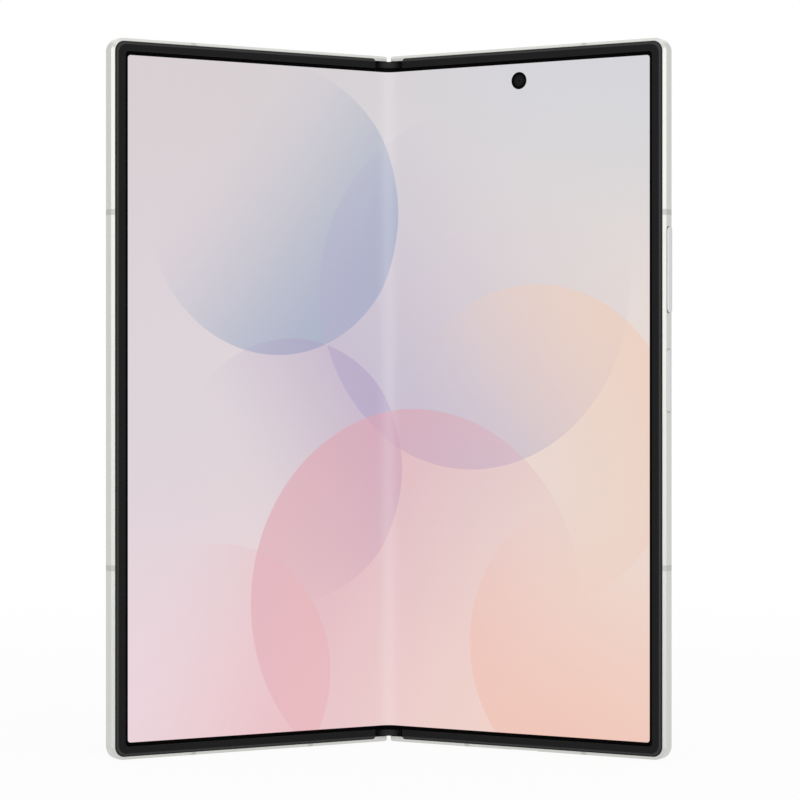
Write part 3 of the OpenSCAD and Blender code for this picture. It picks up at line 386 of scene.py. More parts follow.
# Discs: centre in millimetres from fold and bottom, radius, the side they fill towards, how much of the width
# that takes, amount, tint
discs = [
    ((-30, 122), 33, (0.75, -0.66), 0.85, 0.75, srgb(150, 168, 196)),
    ((22, 104), 41, (-0.55, -0.83), 0.95, 0.62, srgb(182, 176, 205)),
    ((39, 69), 36, (0.86, 0.5), 0.8, 0.62, srgb(238, 205, 186)),
    ((-26, 63), 30, (0.9, 0.43), 0.8, 0.55, srgb(176, 158, 196)),
    ((7, 33), 44, (-0.77, 0.63), 0.95, 0.62, srgb(222, 166, 178)),
    ((-46, 17), 30, (0.95, -0.3), 0.9, 0.55, srgb(232, 180, 186)),
    ((56, 24), 34, (-0.6, -0.8), 0.9, 0.5, srgb(240, 188, 172)),
]
display = {
    "outerX": 0.0691, "low": 0.0028, "high": 0.1556, "cornerRadius": 0.0014,
    "face": 0.0003, "thickness": 0.0005,
    "bendRadius": 0.0029,  # of the crease, at the half open rest
    "bendEnd": 0.0020,  # from here outward the sheet follows its half
    "blendHeight": 0.08,
    "holeX": 0.0349, "holeZ": 0.15085, "holeRadius": 0.00185, "holePatch": 0.003,
    "holeRings": (0, 0.4, 0.75, 1),  # from square to circle
    "cornerSteps": 7, "patchSteps": 13, "rows": (0.02, 0.14, 5), "rowDigits": 9,
    "bendColumns": (0, 0.003, 25), "nearColumns": (0.005, 0.0085), "farColumn": 0.05, "cornerColumn": 0.0005,
}


def pastRoundRect(tree, x, y, middle, halves, corner):
    # How far a point lies outside a rectangle with round corners, on a plane; negative inside
    over = []
    for value, centre, half in zip((x, y), middle, halves):
        away = calc(tree, "ABSOLUTE", calc(tree, "SUBTRACT", value, centre))
        over.append(calc(tree, "MAXIMUM", calc(tree, "SUBTRACT", away, half - corner), 0.0))
    past = addNode(tree, "CombineXYZ", None, {"X": over[0], "Y": over[1]}).outputs[0]
    return calc(tree, "SUBTRACT", vectorCalc(tree, "LENGTH", past), corner)


def paintPicture(tree, flat, parts):
    # Six colours blended over the lit area, the discs laid over them, and on top a painted sheen along the fold:
    # paler colour that stands in for the crease's highlight
    low, high, half = (picture[key] / screenUnit for key in ("low", "high", "halfWidth"))
    across = remap(tree, parts["X"], foldAt - half, foldAt + half, 0.0, 1.0)
    lowPart = remap(tree, parts["Y"], low, (low + high) / 2, 0.0, 1.0)
    highPart = remap(tree, parts["Y"], (low + high) / 2, high, 0.0, 1.0)
    bottom, middle, top = (
        mixColours(tree, across, picture[level + "Left"], picture[level + "Right"])
        for level in ("low", "middle", "top")
    )
    colour = mixColours(tree, highPart, mixColours(tree, lowPart, bottom, middle), top)
    for (x, z), radius, toward, fade, amount, tint in discs:
        colour = place(tree, disc, {
            "Where": flat, "Centre": (foldAt + x * millimetre / screenUnit, z * millimetre / screenUnit, 0),
            "Radius": radius * millimetre / screenUnit, "Toward": (*toward, 0), "From": 1 - 2 * fade,
            "Amount": amount, "Tint": tint, "Under": colour,
        })["Color"]
    fromFold = calc(tree, "ABSOLUTE", calc(tree, "SUBTRACT", parts["X"], foldAt))
    # Painted highlight: near the fold the colour is mixed toward white
    paintedSheen = remap(tree, fromFold, 0.0, picture["paintedSheenReach"] / screenUnit, picture["paintedSheen"], 0.0)
    return mixColours(tree, paintedSheen, colour, white)


def makeScreen():
    # The picture gives its own light on the flat sheet, black outside the lit area and in the punch hole
    fixed = {"Specular IOR Level": picture["specular"], "Emission Strength": picture["emission"]}
    material, tree, shader, where = newMaterial("litScreen", fixed)
    flat = addNode(tree, "UVMap", {"uv_map": "screenMap"}).outputs[0]
    parts = splitVector(tree, flat)
    colour = paintPicture(tree, flat, parts)
    low, high, half, corner = (picture[key] / screenUnit for key in ("low", "high", "halfWidth", "corner"))
    middle, halves = (foldAt, (low + high) / 2), (half, (high - low) / 2)
    outside = pastRoundRect(tree, parts["X"], parts["Y"], middle, halves, corner)
    inArea = remap(tree, outside, -picture["rim"], 0.0, 1.0, 0.0, "LINEAR")
    hole = (foldAt + display["holeX"] / screenUnit, display["holeZ"] / screenUnit, 0)
    fromHole = vectorCalc(tree, "DISTANCE", flat, hole)
    holeFrom, holeTo = ((display["holeRadius"] + past) / screenUnit for past in picture["holeRim"])
    lit = calc(tree, "MULTIPLY", inArea, remap(tree, fromHole, holeFrom, holeTo, 0.0, 1.0, "LINEAR"))
    tree.links.new(mixColours(tree, lit, picture["dark"], colour), shader.inputs["Emission Color"])
    face = mixColours(tree, calc(tree, "MULTIPLY", lit, picture["faceShare"]), picture["darkFace"], colour)
    finishShader(tree, shader, face, markedRough(tree, where, picture["rough"], picture["marks"]))
    return material


def sheetPlace(x, z, depth, side):
    # Point of the sheet at half coordinate x: an arc of bendRadius about a line in front of the fold, then
    # straight along the half; depth goes rearward, square to the face
    radius, axisX, axisY = display["bendRadius"], phone["axisX"], phone["axisY"]
    behind = display["face"] - phone["axisDepth"]
    centreY = axisY - (radius - behind - axisX * tiltSin) / tiltCos
    rise = centreY + radius * tiltCos - axisY
    straightFrom = axisX + (radius * tiltSin - axisX) * tiltCos - rise * tiltSin
    angle = phone["tilt"] * np.minimum(x / straightFrom, 1)
    run = np.maximum(x - straightFrom, 0)
    out = (radius + depth) * np.sin(angle) + run * tiltCos
    rear = centreY + (radius + depth) * np.cos(angle) - run * tiltSin
    return np.stack([side * out, rear, z], axis=-1)


def sheetOutline():
    # Flat grid of the sheet: close columns over the bend, rows that follow the round outer corners
    corner, outer = display["cornerRadius"], display["outerX"]
    turn = np.linspace(0, math.pi / 2, display["cornerSteps"])
    patch = display["holePatch"] * np.linspace(-1, 1, display["patchSteps"])
    ends = display["low"] + corner * (1 - np.cos(turn))
    tops = display["high"] - corner * (1 - np.cos(turn[::-1]))
    zs = np.concatenate([ends, np.linspace(*display["rows"]), display["holeZ"] + patch, tops])
    zs = np.unique(np.round(zs, display["rowDigits"]))
    outerColumns = [display["farColumn"], outer - corner - display["cornerColumn"], outer]
    bend = np.linspace(*display["bendColumns"])
    xs = np.concatenate([bend, display["nearColumns"], display["holeX"] + patch, outerColumns])
    x, z = np.meshgrid(xs, zs)
    fromEnd = np.minimum(z[:, -1] - display["low"], display["high"] - z[:, -1])
    inCorner = np.clip(corner - fromEnd, 0, corner)
    x[:, -1] = outer - corner + np.sqrt(corner * corner - inCorner**2)
    return np.stack([x, z], axis=-1), gridFaces(len(zs), len(xs))


def cutHole(flat, faces):
    # The cells of a square round the camera give way to rings from the square to the hole's circle
    centre, reach = np.array([display["holeX"], display["holeZ"]]), display["holePatch"]
    middles = flat[faces].mean(axis=1)
    kept = faces[np.abs(middles - centre).max(axis=1) > reach]
    onRim = np.abs(np.abs(flat - centre).max(axis=1) - reach) < meshing["near"]
    rim = flat[onRim]
    rim = rim[np.argsort(np.arctan2(rim[:, 1] - centre[1], rim[:, 0] - centre[0]))]
    way = rim - centre
    circle = centre + display["holeRadius"] * way / np.linalg.norm(way, axis=1)[:, None]
    share = np.array(display["holeRings"])[:, None, None]
    rings = (rim * (1 - share) + circle * share).reshape(-1, 2)
    ringFaces = gridFaces(len(share), len(rim), closed=True) + len(flat)
    return np.concatenate([flat, rings]), np.concatenate([kept, ringFaces])


def makeSheet(name, side, hole):
    # The flat outline laid on the bend at the front and at the back, with walls along every open edge
    flat, faces = sheetOutline()
    flat = flat.reshape(-1, 2)
    if hole:
        flat, faces = cutHole(flat, faces)
    first, faces = mergeDoubles(flat, faces)
    flat = flat[first]
    walls = openEdges(faces)
    count = len(flat)
    front = sheetPlace(flat[:, 0], flat[:, 1], 0.0, side)
    back = sheetPlace(flat[:, 0], flat[:, 1], display["thickness"], side)
    wallFaces = np.stack([walls[:, 0], walls[:, 1], walls[:, 1] + count, walls[:, 0] + count], axis=-1)
    allFaces = np.concatenate([faces, faces + count, wallFaces])
    uv = np.stack([foldAt + side * flat[:, 0] / screenUnit, flat[:, 1] / screenUnit], axis=-1)
    piece = meshPiece(name, np.concatenate([front, back]), allFaces, np.concatenate([uv, uv]))
    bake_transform(piece)
    return piece


screen = makeScreen()
displayRight = makeSheet("displaySheetRight", 1, True)
displayLeft = makeSheet("displaySheetLeft", -1, False)
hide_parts("display_right", "display_fold")
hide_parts("display_left")
dressPiece(displayRight, screen)
dressPiece(displayLeft, screen)
print("display laid")

# In each finish "dark" dims the grain's darker tone, "tone" and "gloss" say how far grain or lines reach into
# colour and roughness, "marks" is scale, amount and share of handling, "bump" is strength and depth
satin = {
    "metal": srgb(212, 212, 208), "key": srgb(219, 219, 217), "band": srgb(194, 194, 190), "rough": 0.3,
    "spine": srgb(206, 206, 202), "ring": srgb(206, 206, 204), "specular": 0.5,
    # The edge share is how much of the painted edge highlight the colour takes
    "dark": 0.93, "tone": 1.2, "gloss": 0.12, "marks": (70.0, 0.5, 0.1), "edgeHighlightShare": 0.6,
    "bump": (0.35, 0.00002),
}


def makeSatinMetal(name, colour, rough, scale=5000.0, metallic=0.85, edgeWidth=0.00012, edgeHighlightLift=1.08):
    # Blasted and anodised aluminium: even fine grain, edges made slightly brighter by a painted highlight, faint
    # handling in the gloss
    fixed = {"Metallic": metallic, "Specular IOR Level": satin["specular"]}
    material, tree, shader, where = newMaterial(name, fixed)
    speck = grainAt(tree, where, scale)
    edge = place(tree, edges, {"Radius": edgeWidth})
    amount = plusShare(tree, 0.5, speck["Value"], satin["tone"])
    tone = mixColours(tree, amount, shaded(colour, satin["dark"]), colour)
    # Painted highlight: near edges the colour is lifted toward a paler copy of itself
    edgeHighlightAmount = calc(tree, "MULTIPLY", edge["Mask"], satin["edgeHighlightShare"])
    tone = mixColours(tree, edgeHighlightAmount, tone, shaded(colour, edgeHighlightLift))
    uneven = markedRough(tree, where, calc(tree, "MULTIPLY", speck["Value"], satin["gloss"]), satin["marks"])
    finishShader(tree, shader, tone, calc(tree, "ADD", rough, uneven))
    addBump(tree, shader, speck["Height"], satin["bump"], edge["Normal"])
    return material


# The bezel's rim colour is a painted highlight and its foot colour is painted shade by the metal
bezel = {
    "face": srgb(17, 17, 18), "rim": srgb(60, 60, 61), "foot": srgb(30, 30, 31), "specular": 0.15,
    "rimHighlightLean": (0.004, 0.03), "footLean": (0.06, 0.14),  # lean of the normal: 1 less its cosine
    "edgeWidth": 0.00012, "grain": 4000.0, "tone": 0.15, "rough": 0.6, "rimGloss": 0.2, "gloss": 0.2,
    "bump": (0.3, 0.00002),
}


def makeBezelRubber():
    # Matt rubber with a polished rim; its paler rim colour is painted highlight and its darker foot is painted
    # shade:
    # how far the normal leans from both front faces tells them apart
    material, tree, shader, where = newMaterial("bezelRubber", {"Specular IOR Level": bezel["specular"]})
    speck = grainAt(tree, where, bezel["grain"])
    facing = tree.nodes["Texture Coordinate"].outputs["Normal"]
    toFront = [vectorCalc(tree, "DOT_PRODUCT", facing, (x, -tiltCos, 0)) for x in (-tiltSin, tiltSin)]
    lean = calc(tree, "SUBTRACT", 1.0, calc(tree, "MAXIMUM", *toFront))
    # Painted highlight on the rim and, through the edge mask, on the edges; painted shade on the foot
    rim = remap(tree, lean, *bezel["rimHighlightLean"], 0.0, 1.0)
    foot = remap(tree, lean, *bezel["footLean"], 0.0, 1.0)
    edge = place(tree, edges, {"Radius": bezel["edgeWidth"]})["Mask"]
    amount = plusShare(tree, calc(tree, "MAXIMUM", rim, edge), speck["Value"], bezel["tone"])
    faceWithRimHighlight = mixColours(tree, amount, bezel["face"], bezel["rim"])
    matt = calc(tree, "SUBTRACT", bezel["rough"], calc(tree, "MULTIPLY", rim, bezel["rimGloss"]))
    rough = plusShare(tree, matt, speck["Value"], bezel["gloss"])
    finishShader(tree, shader, mixColours(tree, foot, faceWithRimHighlight, bezel["foot"]), rough)
    addBump(tree, shader, speck["Height"], bezel["bump"])
    return material


# For the cap, the dark high colour over its shade range is painted shade on its sides, away from the fold
plastics = {
    "capPlastic": {
        "low": srgb(44, 44, 44), "high": srgb(2, 2, 2), "shade": (0.0006, 0.0026), "specular": 0.12,
        "grain": 3500.0, "tone": 0.3, "rough": 0.55, "gloss": 0.2, "bump": (0.3, 0.00002),
    },
    "cameraBlack": {
        "low": shaded(srgb(14, 14, 16), 0.75), "high": shaded(srgb(14, 14, 16), 1.25), "specular": 0.2,
        "grain": 6000.0, "tone": 2.0, "rough": 0.4, "gloss": 0.2, "bump": (0.4, 0.00001),
    },
}


def makePlastic(name):
    # Moulded plastic with fine grain; on the dished cap, painted shade darkens the colour away from the fold,
    # between the bezels' ends
    look = plastics[name]
    material, tree, shader, where = newMaterial(name, {"Specular IOR Level": look["specular"]})
    speck, base = grainAt(tree, where, look["grain"]), 0.5
    if "shade" in look:
        # Painted shade on the cap: darker with distance from the fold
        fromFold = calc(tree, "ABSOLUTE", splitVector(tree, where)["X"])
        base = remap(tree, fromFold, *look["shade"], 0.0, 1.0)
    tone = mixColours(tree, plusShare(tree, base, speck["Value"], look["tone"]), look["low"], look["high"])
    finishShader(tree, shader, tone, grainedRough(tree, speck, look))
    addBump(tree, shader, speck["Height"], look["bump"])
    return material


steel = {"scale": 6000.0, "dark": 0.85, "gloss": 0.15, "bump": (0.3, 0.00001)}


def makeSteel(name, colour, rough, across):
    # Ground metal: lines along the part
    material, tree, shader, where = newMaterial(name, {"Metallic": 1.0})
    lines = place(tree, brushing, {"Where": where, "Across": across, "Scale": steel["scale"]})
    tone = mixColours(tree, calc(tree, "ADD", 0.5, lines["Value"]), shaded(colour, steel["dark"]), colour)
    finishShader(tree, shader, tone, plusShare(tree, rough, lines["Value"], steel["gloss"]))
    addBump(tree, shader, lines["Height"], steel["bump"])
    return material


gloss = {"grain": 9000.0, "dark": 0.97, "marksScale": 35.0, "marksShare": 0.25}


def makeGloss(name, colour, rough, specular, marks):
    # Smooth glass-like skin over a colour, with faint marks of handling in its gloss
    material, tree, shader, where = newMaterial(name, {"Specular IOR Level": specular})
    speck = grainAt(tree, where, gloss["grain"])
    tone = mixColours(tree, calc(tree, "ADD", 0.5, speck["Value"]), shaded(colour, gloss["dark"]), colour)
    marks = (gloss["marksScale"], marks, gloss["marksShare"])
    finishShader(tree, shader, tone, markedRough(tree, where, rough, marks))
    return material


cover = {  # the switched off cover screen, in half coordinates of the left half
    "lit": ((0.0066, 0.0685), (0.0031, 0.1553)), "corner": 0.0022, "litRim": 0.0001, "ringRim": 0.00004,
    "cameraX": 0.03825, "cameraZ": 0.1494, "lens": 0.0009, "iris": 0.00125, "hole": 0.0016,
    "screen": srgb(27, 28, 32), "border": srgb(4, 4, 5), "ring": srgb(62, 63, 68), "coat": srgb(16, 20, 44),
    "specular": 0.28, "rough": 0.06, "marks": (35.0, 0.5, 0.2),
}


def leftHalfSpot(tree, where):
    # Half coordinates of a point of the left half: x outward along the tilted half, and its height
    shift = phone["axisX"] - tiltCos * phone["axisX"] + tiltSin * phone["axisY"]
    along = vectorCalc(tree, "DOT_PRODUCT", where, (-tiltCos, -tiltSin, 0))
    return calc(tree, "ADD", along, shift), splitVector(tree, where)["Z"]


def makeCoverGlass():
    # Black glass over the panel's field, its black border and a small camera, a coated lens in a ring
    material, tree, shader, where = newMaterial("coverGlass", {"Specular IOR Level": cover["specular"]})
    x, z = leftHalfSpot(tree, where)
    middle, halves = zip(*(((low + high) / 2, (high - low) / 2) for low, high in cover["lit"]))
    outside = pastRoundRect(tree, x, z, middle, halves, cover["corner"])
    field = remap(tree, outside, -cover["litRim"], 0.0, 0.0, 1.0)
    colour = mixColours(tree, field, cover["screen"], cover["border"])
    spot = addNode(tree, "CombineXYZ", None, {"X": x, "Y": z}).outputs[0]
    reach = vectorCalc(tree, "DISTANCE", spot, (cover["cameraX"], cover["cameraZ"], 0))
    for ring, tint in (("hole", "border"), ("iris", "ring"), ("lens", "coat")):
        inside = remap(tree, reach, cover[ring] - cover["ringRim"], cover[ring], 1.0, 0.0)
        colour = mixColours(tree, inside, colour, cover[tint])
    finishShader(tree, shader, colour, markedRough(tree, where, cover["rough"], cover["marks"]))
    return material


coil = {
    "centre": (0.038, 0.00345, 0.055), "pitch": 0.0006, "wire": srgb(204, 124, 76),
    "between": srgb(70, 34, 18), "metallic": 0.9, "grain": 3000.0, "tone": 0.3, "rough": 0.3, "gloss": 0.2,
    "bump": (0.8, 0.0001),
}


def makeWinding():
    # Lacquered wire: round turns about the coil's middle; painted shade darkens the colour between two turns, so
    # each stays bright on top
    material, tree, shader, where = newMaterial("copperWire", {"Metallic": coil["metallic"]})
    reach = vectorCalc(tree, "DISTANCE", where, tuple(onHalf(np.array(coil["centre"]), 1)))
    turns = calc(tree, "MULTIPLY", reach, math.pi / coil["pitch"])
    wave = calc(tree, "ABSOLUTE", calc(tree, "SINE", turns))
    speck = grainAt(tree, where, coil["grain"])
    # Painted shade: toward the dark colour between the turns
    outOfShade = plusShare(tree, wave, speck["Value"], coil["tone"])
    tone = mixColours(tree, outOfShade, coil["between"], coil["wire"])
    finishShader(tree, shader, tone, grainedRough(tree, speck, coil))
    addBump(tree, shader, wave, coil["bump"])
    return material


board = {
    "mask": srgb(22, 74, 48), "track": srgb(38, 104, 66), "pad": srgb(196, 176, 120), "rough": 0.4,
    "coat": 0.3, "cells": 900.0, "pads": 650.0, "padSpread": 0.4, "trackHalf": (0.02, 0.06),
    "padHalf": (0.14, 0.18), "bump": (0.5, 0.00003),
}


def makeBoard():
    # Green solder mask, paler and raised along the tracks between cells, with small pale pads
    material, tree, shader, where = newMaterial("circuitBoard", {"Coat Weight": board["coat"]})
    cellSockets = {"Vector": where, "Scale": board["cells"]}
    cells = addNode(tree, "TexVoronoi", {"feature": "DISTANCE_TO_EDGE"}, cellSockets)
    padSockets = {"Vector": where, "Scale": board["pads"], "Randomness": board["padSpread"]}
    pads = addNode(tree, "TexVoronoi", {"distance": "CHEBYCHEV"}, padSockets)
    track = remap(tree, cells.outputs["Distance"], *board["trackHalf"], 1.0, 0.0)
    pad = remap(tree, pads.outputs["Distance"], *board["padHalf"], 1.0, 0.0)
    green = mixColours(tree, track, board["mask"], board["track"])
    finishShader(tree, shader, mixColours(tree, pad, green, board["pad"]), board["rough"])
    addBump(tree, shader, calc(tree, "ADD", track, pad), board["bump"])
    return material


film = {
    "low": srgb(38, 39, 42), "high": srgb(62, 63, 66), "specular": 0.4, "scale": 220.0, "detail": 4.0,
    "warp": 1.2, "folds": (0.3, 0.7), "rough": (0.32, 0.55), "bump": (0.4, 0.00015),
}


def makeCellFilm():
    # Pouch cell: dark matt film with shallow creases; the colour follows their height, darker in the hollows as
    # painted shade
    material, tree, shader, where = newMaterial("cellFilm", {"Specular IOR Level": film["specular"]})
    folds = noiseAt(tree, where, film["scale"], film["detail"], film["warp"])
    rough = remap(tree, folds, *film["folds"], *film["rough"])
    finishShader(tree, shader, mixColours(tree, folds, film["low"], film["high"]), rough)
    addBump(tree, shader, folds, film["bump"])
    return material


satinMetal = makeSatinMetal("satinMetal", satin["metal"], satin["rough"])
spineMetal = makeSatinMetal("spineMetal", satin["spine"], 0.2, 7000.0)
ringMetal = makeSatinMetal("ringMetal", satin["ring"], 0.16, 8000.0)
# The keys take a wider and stronger painted highlight along their edges
keyMetal = makeSatinMetal("keyMetal", satin["key"], satin["rough"], edgeWidth=0.0003, edgeHighlightLift=1.3)
bandPlastic = makeSatinMetal("bandPlastic", satin["band"], 0.4, 7000.0, metallic=0.75)  # filled, metal-like
bezelRubber = makeBezelRubber()
capPlastic, cameraBlack = makePlastic("capPlastic"), makePlastic("cameraBlack")
hingeSteel = makeSteel("hingeSteel", srgb(176, 180, 186), 0.3, (1.0, 1.0, 0.03))
gearSteel = makeSteel("gearSteel", srgb(206, 180, 122), 0.32, (0.03, 0.03, 1.0))
shieldMetal = makeSteel("shieldMetal", srgb(196, 197, 198), 0.35, (0.04, 1.0, 1.0))
contactGold = makeSteel("contactGold", srgb(226, 190, 116), 0.25, (1.0, 1.0, 0.05))
frostedGlass = makeGloss("frostedGlass", srgb(226, 225, 221), 0.42, 0.5, 0.35)
panelBlack = makeGloss("panelBlack", srgb(10, 10, 12), 0.15, 0.4, 0.1)
maskGlass = makeGloss("maskGlass", srgb(7, 7, 8), 0.05, 0.4, 0.3)
coverGlass, copperWire, circuitBoard, cellFilm = makeCoverGlass(), makeWinding(), makeBoard(), makeCellFilm()

# Cameras and flash: places on the right half in metres, all else in millimetres, depths from the bezel's face
rearCamera = {
    "x": 0.0556, "heights": (0.1399, 0.1214, 0.1029), "lensRadius": (2.35, 2.5, 2.0),
    "floor": 5.0, "wall": 4.55, "front": 6.3, "window": 3.3, "throat": 2.66,
    "ridges": 6, "ridgeDrop": 0.05, "ridgeIn": 0.05, "ridgeGap": 0.1,
    "lensTop": 5.8, "lensRise": 0.6, "lensSeat": 4.25, "lensRim": 2.54, "lensEdge": 0.1, "lensSteps": 14,
    "maskRadius": 6.15, "maskFront": 6.7, "maskBack": 6.35, "maskEdge": 0.08, "maskSteps": 5,
    "maskBevel": 0.12,
}
innerCamera = {
    "x": 0.0349, "z": 0.15085, "face": 0.42, "thickness": 0.05, "radius": 1.72, "bevel": 0.03,
    "window": 1.3, "pupil": 0.42, "pupilRim": 0.14,
}
flashUnit = {
    "x": 0.0634, "z": 0.13065, "shaft": (0.6, 1.5), "head": (0.9, 4.2), "top": 6.14, "bevel": 0.05,
    "ridges": 5, "ridgeDrop": 0.07, "ridgeIn": 0.1,
    "rings": [(0.7, srgb(240, 222, 150)), (0.45, srgb(246, 206, 84))], "under": srgb(214, 211, 196),
    "specular": 0.5, "grain": 8000.0, "rough": 0.2, "gloss": 0.3,
}
# Glass over rings of colour, each (radius in millimetres, colour)
lensLook = {
    "fixed": {"Specular IOR Level": 0.55, "Specular Tint": (0.55, 0.6, 1.0, 1.0)},
    "rings": [
        (2.3, srgb(30, 22, 52)), (1.9, srgb(20, 26, 62)), (1.45, srgb(12, 20, 44)), (1.05, srgb(44, 46, 56)),
        (0.95, srgb(3, 3, 5)),
    ],
    "under": srgb(8, 8, 10), "rough": 0.03, "marks": (300.0, 0.3, 0.1),
}
windowLook = {
    "fixed": {"Specular IOR Level": 0.04},
    "rings": [
        (innerCamera["window"], srgb(25, 25, 26)),
        (innerCamera["pupil"] + innerCamera["pupilRim"], srgb(46, 46, 48)),
        (innerCamera["pupil"], srgb(16, 16, 18)),
    ],
    "under": srgb(1, 1, 1), "rough": 0.12, "marks": (300.0, 0.3, 0.2),
}
ringRim = 0.06  # softness of a ring's edge, in millimetres


def ringPattern(tree, look):
    # Colours by the map's radius, laid from the outside in
    radial = addNode(tree, "UVMap", {"uv_map": "turnedMap"}).outputs[0]
    reach = splitVector(tree, radial)["X"]
    colour, unit = look["under"], millimetre / meshing["turnedUnit"]
    for radius, tint in look["rings"]:
        inside = remap(tree, reach, (radius - ringRim) * unit, radius * unit, 1.0, 0.0)
        colour = mixColours(tree, inside, colour, tint)
    return colour


def makeRingGlass(name, look):
    # A coated rear lens or the punch hole's window: rings of colour under a crisp, faintly marked gloss
    material, tree, shader, where = newMaterial(name, look["fixed"])
    rough = markedRough(tree, where, look["rough"], look["marks"])
    finishShader(tree, shader, ringPattern(tree, look), rough)
    return material


def makeFlashLens():
    # Moulded clear plastic over a yellow chip, with grain in its gloss
    material, tree, shader, where = newMaterial("flashLens", {"Specular IOR Level": flashUnit["specular"]})
    rough = grainedRough(tree, grainAt(tree, where, flashUnit["grain"]), flashUnit)
    finishShader(tree, shader, ringPattern(tree, flashUnit), rough)
    return material


def sawRings(outer, inner, depthOut, depthIn, count, drop):
    # Teeth of a turned ring from outer to inner radius: each rises to the sloping line and drops from it
    rootShare = 0.3  # of a tooth's width, from tip to root
    steps = np.linspace(0, 1, count + 1)
    radius = outer + (inner - outer) * steps
    depth = depthOut + (depthIn - depthOut) * steps
    tips = np.stack([radius[:-1], depth[:-1]], axis=-1)
    roots = np.stack([radius[:-1] + (inner - outer) / count * rootShare, depth[:-1] - drop], axis=-1)
    return np.stack([tips, roots], axis=1).reshape(-1, 2).tolist()


def baffleProfile(cam):
    # A sleeve round the lens, from the wall inward over the front and down the ridged throat
    lensRimTop = cam["lensTop"] - cam["lensRise"]
    depths = cam["front"] - cam["ridgeGap"], lensRimTop + cam["ridgeGap"]
    saw = sawRings(cam["window"] - cam["ridgeIn"], cam["throat"], *depths, cam["ridges"], cam["ridgeDrop"])
    wall = [(cam["wall"], cam["floor"]), (cam["wall"], cam["front"]), (cam["window"], cam["front"])]
    return wall + saw + [(cam["throat"], cam["floor"]), (cam["wall"], cam["floor"])]


def lensProfile(cam, radius):
    # A dome whose drop grows with the square of the radius, on a flat rim and a straight barrel
    top, rise, barrel, seat = cam["lensTop"], cam["lensRise"], cam["lensRim"], cam["lensSeat"]
    rim = top - rise - cam["lensEdge"]
    across = np.linspace(0, 1, cam["lensSteps"])
    dome = np.stack([radius * across, top - rise * across**2], axis=-1).tolist()
    return dome + [(radius, rim), (barrel, rim), (barrel, seat), (0, seat)]


def maskProfile(cam):
    # A flat ring with a round outer edge and a bevelled window
    front, edge, window, back = cam["maskFront"], cam["maskEdge"], cam["window"], cam["maskBack"]
    turn = np.linspace(0, math.pi / 2, cam["maskSteps"])
    edgeRadius = cam["maskRadius"] - edge + edge * np.cos(turn)
    rounded = np.stack([edgeRadius, front - edge + edge * np.sin(turn)], axis=-1).tolist()
    bevel = [(window + cam["maskBevel"], front), (window, front - cam["maskBevel"])]
    return [(window, back), (cam["maskRadius"], back)] + rounded + bevel + [(window, back)]


def windowProfile(cam):
    # A thin flat disc with a bevelled edge
    front, back, radius, bevel = cam["face"] - cam["thickness"], cam["face"], cam["radius"], cam["bevel"]
    return [(0, front), (radius - bevel, front), (radius, front + bevel), (radius, back), (0, back)]


def flashProfile(unit):
    # A shaft with a wider head, whose face is stepped in rings
    (shaft, low), (head, seat), top = unit["shaft"], unit["head"], unit["top"]
    side = [(0, low), (shaft, low), (shaft, seat), (head, seat), (head, top - unit["bevel"])]
    saw = sawRings(head - unit["ridgeIn"], unit["ridgeIn"], top, top, unit["ridges"], unit["ridgeDrop"])
    return side + [(head - unit["bevel"], top)] + saw + [(0, top)]


lensCoat, innerWindow = makeRingGlass("lensCoat", lensLook), makeRingGlass("innerWindow", windowLook)
flashLens = makeFlashLens()
lensPlaces = [(rearCamera["x"], height) for height in rearCamera["heights"]]
baffles = turnedPiece("lensBaffles", baffleProfile(rearCamera), lensPlaces)
dressPiece(baffles, cameraBlack)
for name, spot, radius in zip(("lensUpper", "lensMiddle", "lensLower"), lensPlaces, rearCamera["lensRadius"]):
    lens = turnedPiece(name, lensProfile(rearCamera, radius), [spot])
    dressPiece(lens, lensCoat)
# The cover glasses are black printed rings, each with an open window over its lens
masks = turnedPiece("lensMasks", maskProfile(rearCamera), lensPlaces)
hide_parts("camera_glasses")
dressPiece(masks, maskGlass)
windowPlace, flashPlace = ((part["x"], part["z"]) for part in (innerCamera, flashUnit))
window = turnedPiece("innerCameraWindow", windowProfile(innerCamera), [windowPlace])
dressPiece(window, innerWindow)
flashPiece = turnedPiece("flashRings", flashProfile(flashUnit), [flashPlace])
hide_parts("flash")
dressPiece(flashPiece, flashLens)

contacts = {
    "x": 0.036, "y": 0.00226, "count": 12, "pitch": 0.0005, "width": 0.00025, "from": 0.0011,
    "length": 0.0032, "tongueHalf": 0.00035, "proud": 0.00002,
}


def padRows():
    # Flat pads on both faces of the port's tongue: the corners of a unit box scaled to each pad
    unit = np.array([[x, y, z] for x in (0, 1) for y in (0, 1) for z in (0, 1)], float)
    quads = np.array([[0, 1, 3, 2], [4, 6, 7, 5], [0, 4, 5, 1], [2, 3, 7, 6], [0, 2, 6, 4], [1, 5, 7, 3]])
    pad, count = contacts, contacts["count"]
    starts = pad["x"] + (np.arange(count) - (count - 1) / 2) * pad["pitch"] - pad["width"] / 2
    size = np.array([pad["width"], pad["proud"], pad["length"]])
    faceDepths = (pad["y"] - pad["tongueHalf"] - pad["proud"], pad["y"] + pad["tongueHalf"])
    lows = [np.stack([starts, np.full(count, y), np.full(count, pad["from"])], axis=-1) for y in faceDepths]
    corners = np.concatenate(lows)[:, None, :] + unit[None] * size
    faces = quads[None] + len(unit) * np.arange(len(corners))[:, None, None]
    return meshPiece("portContacts", onHalf(corners.reshape(-1, 3), 1), faces.reshape(-1, 4))


pads = padRows()
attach(pads, "right_half")
dressPiece(pads, contactGold)
print("cameras, flash and contacts made")

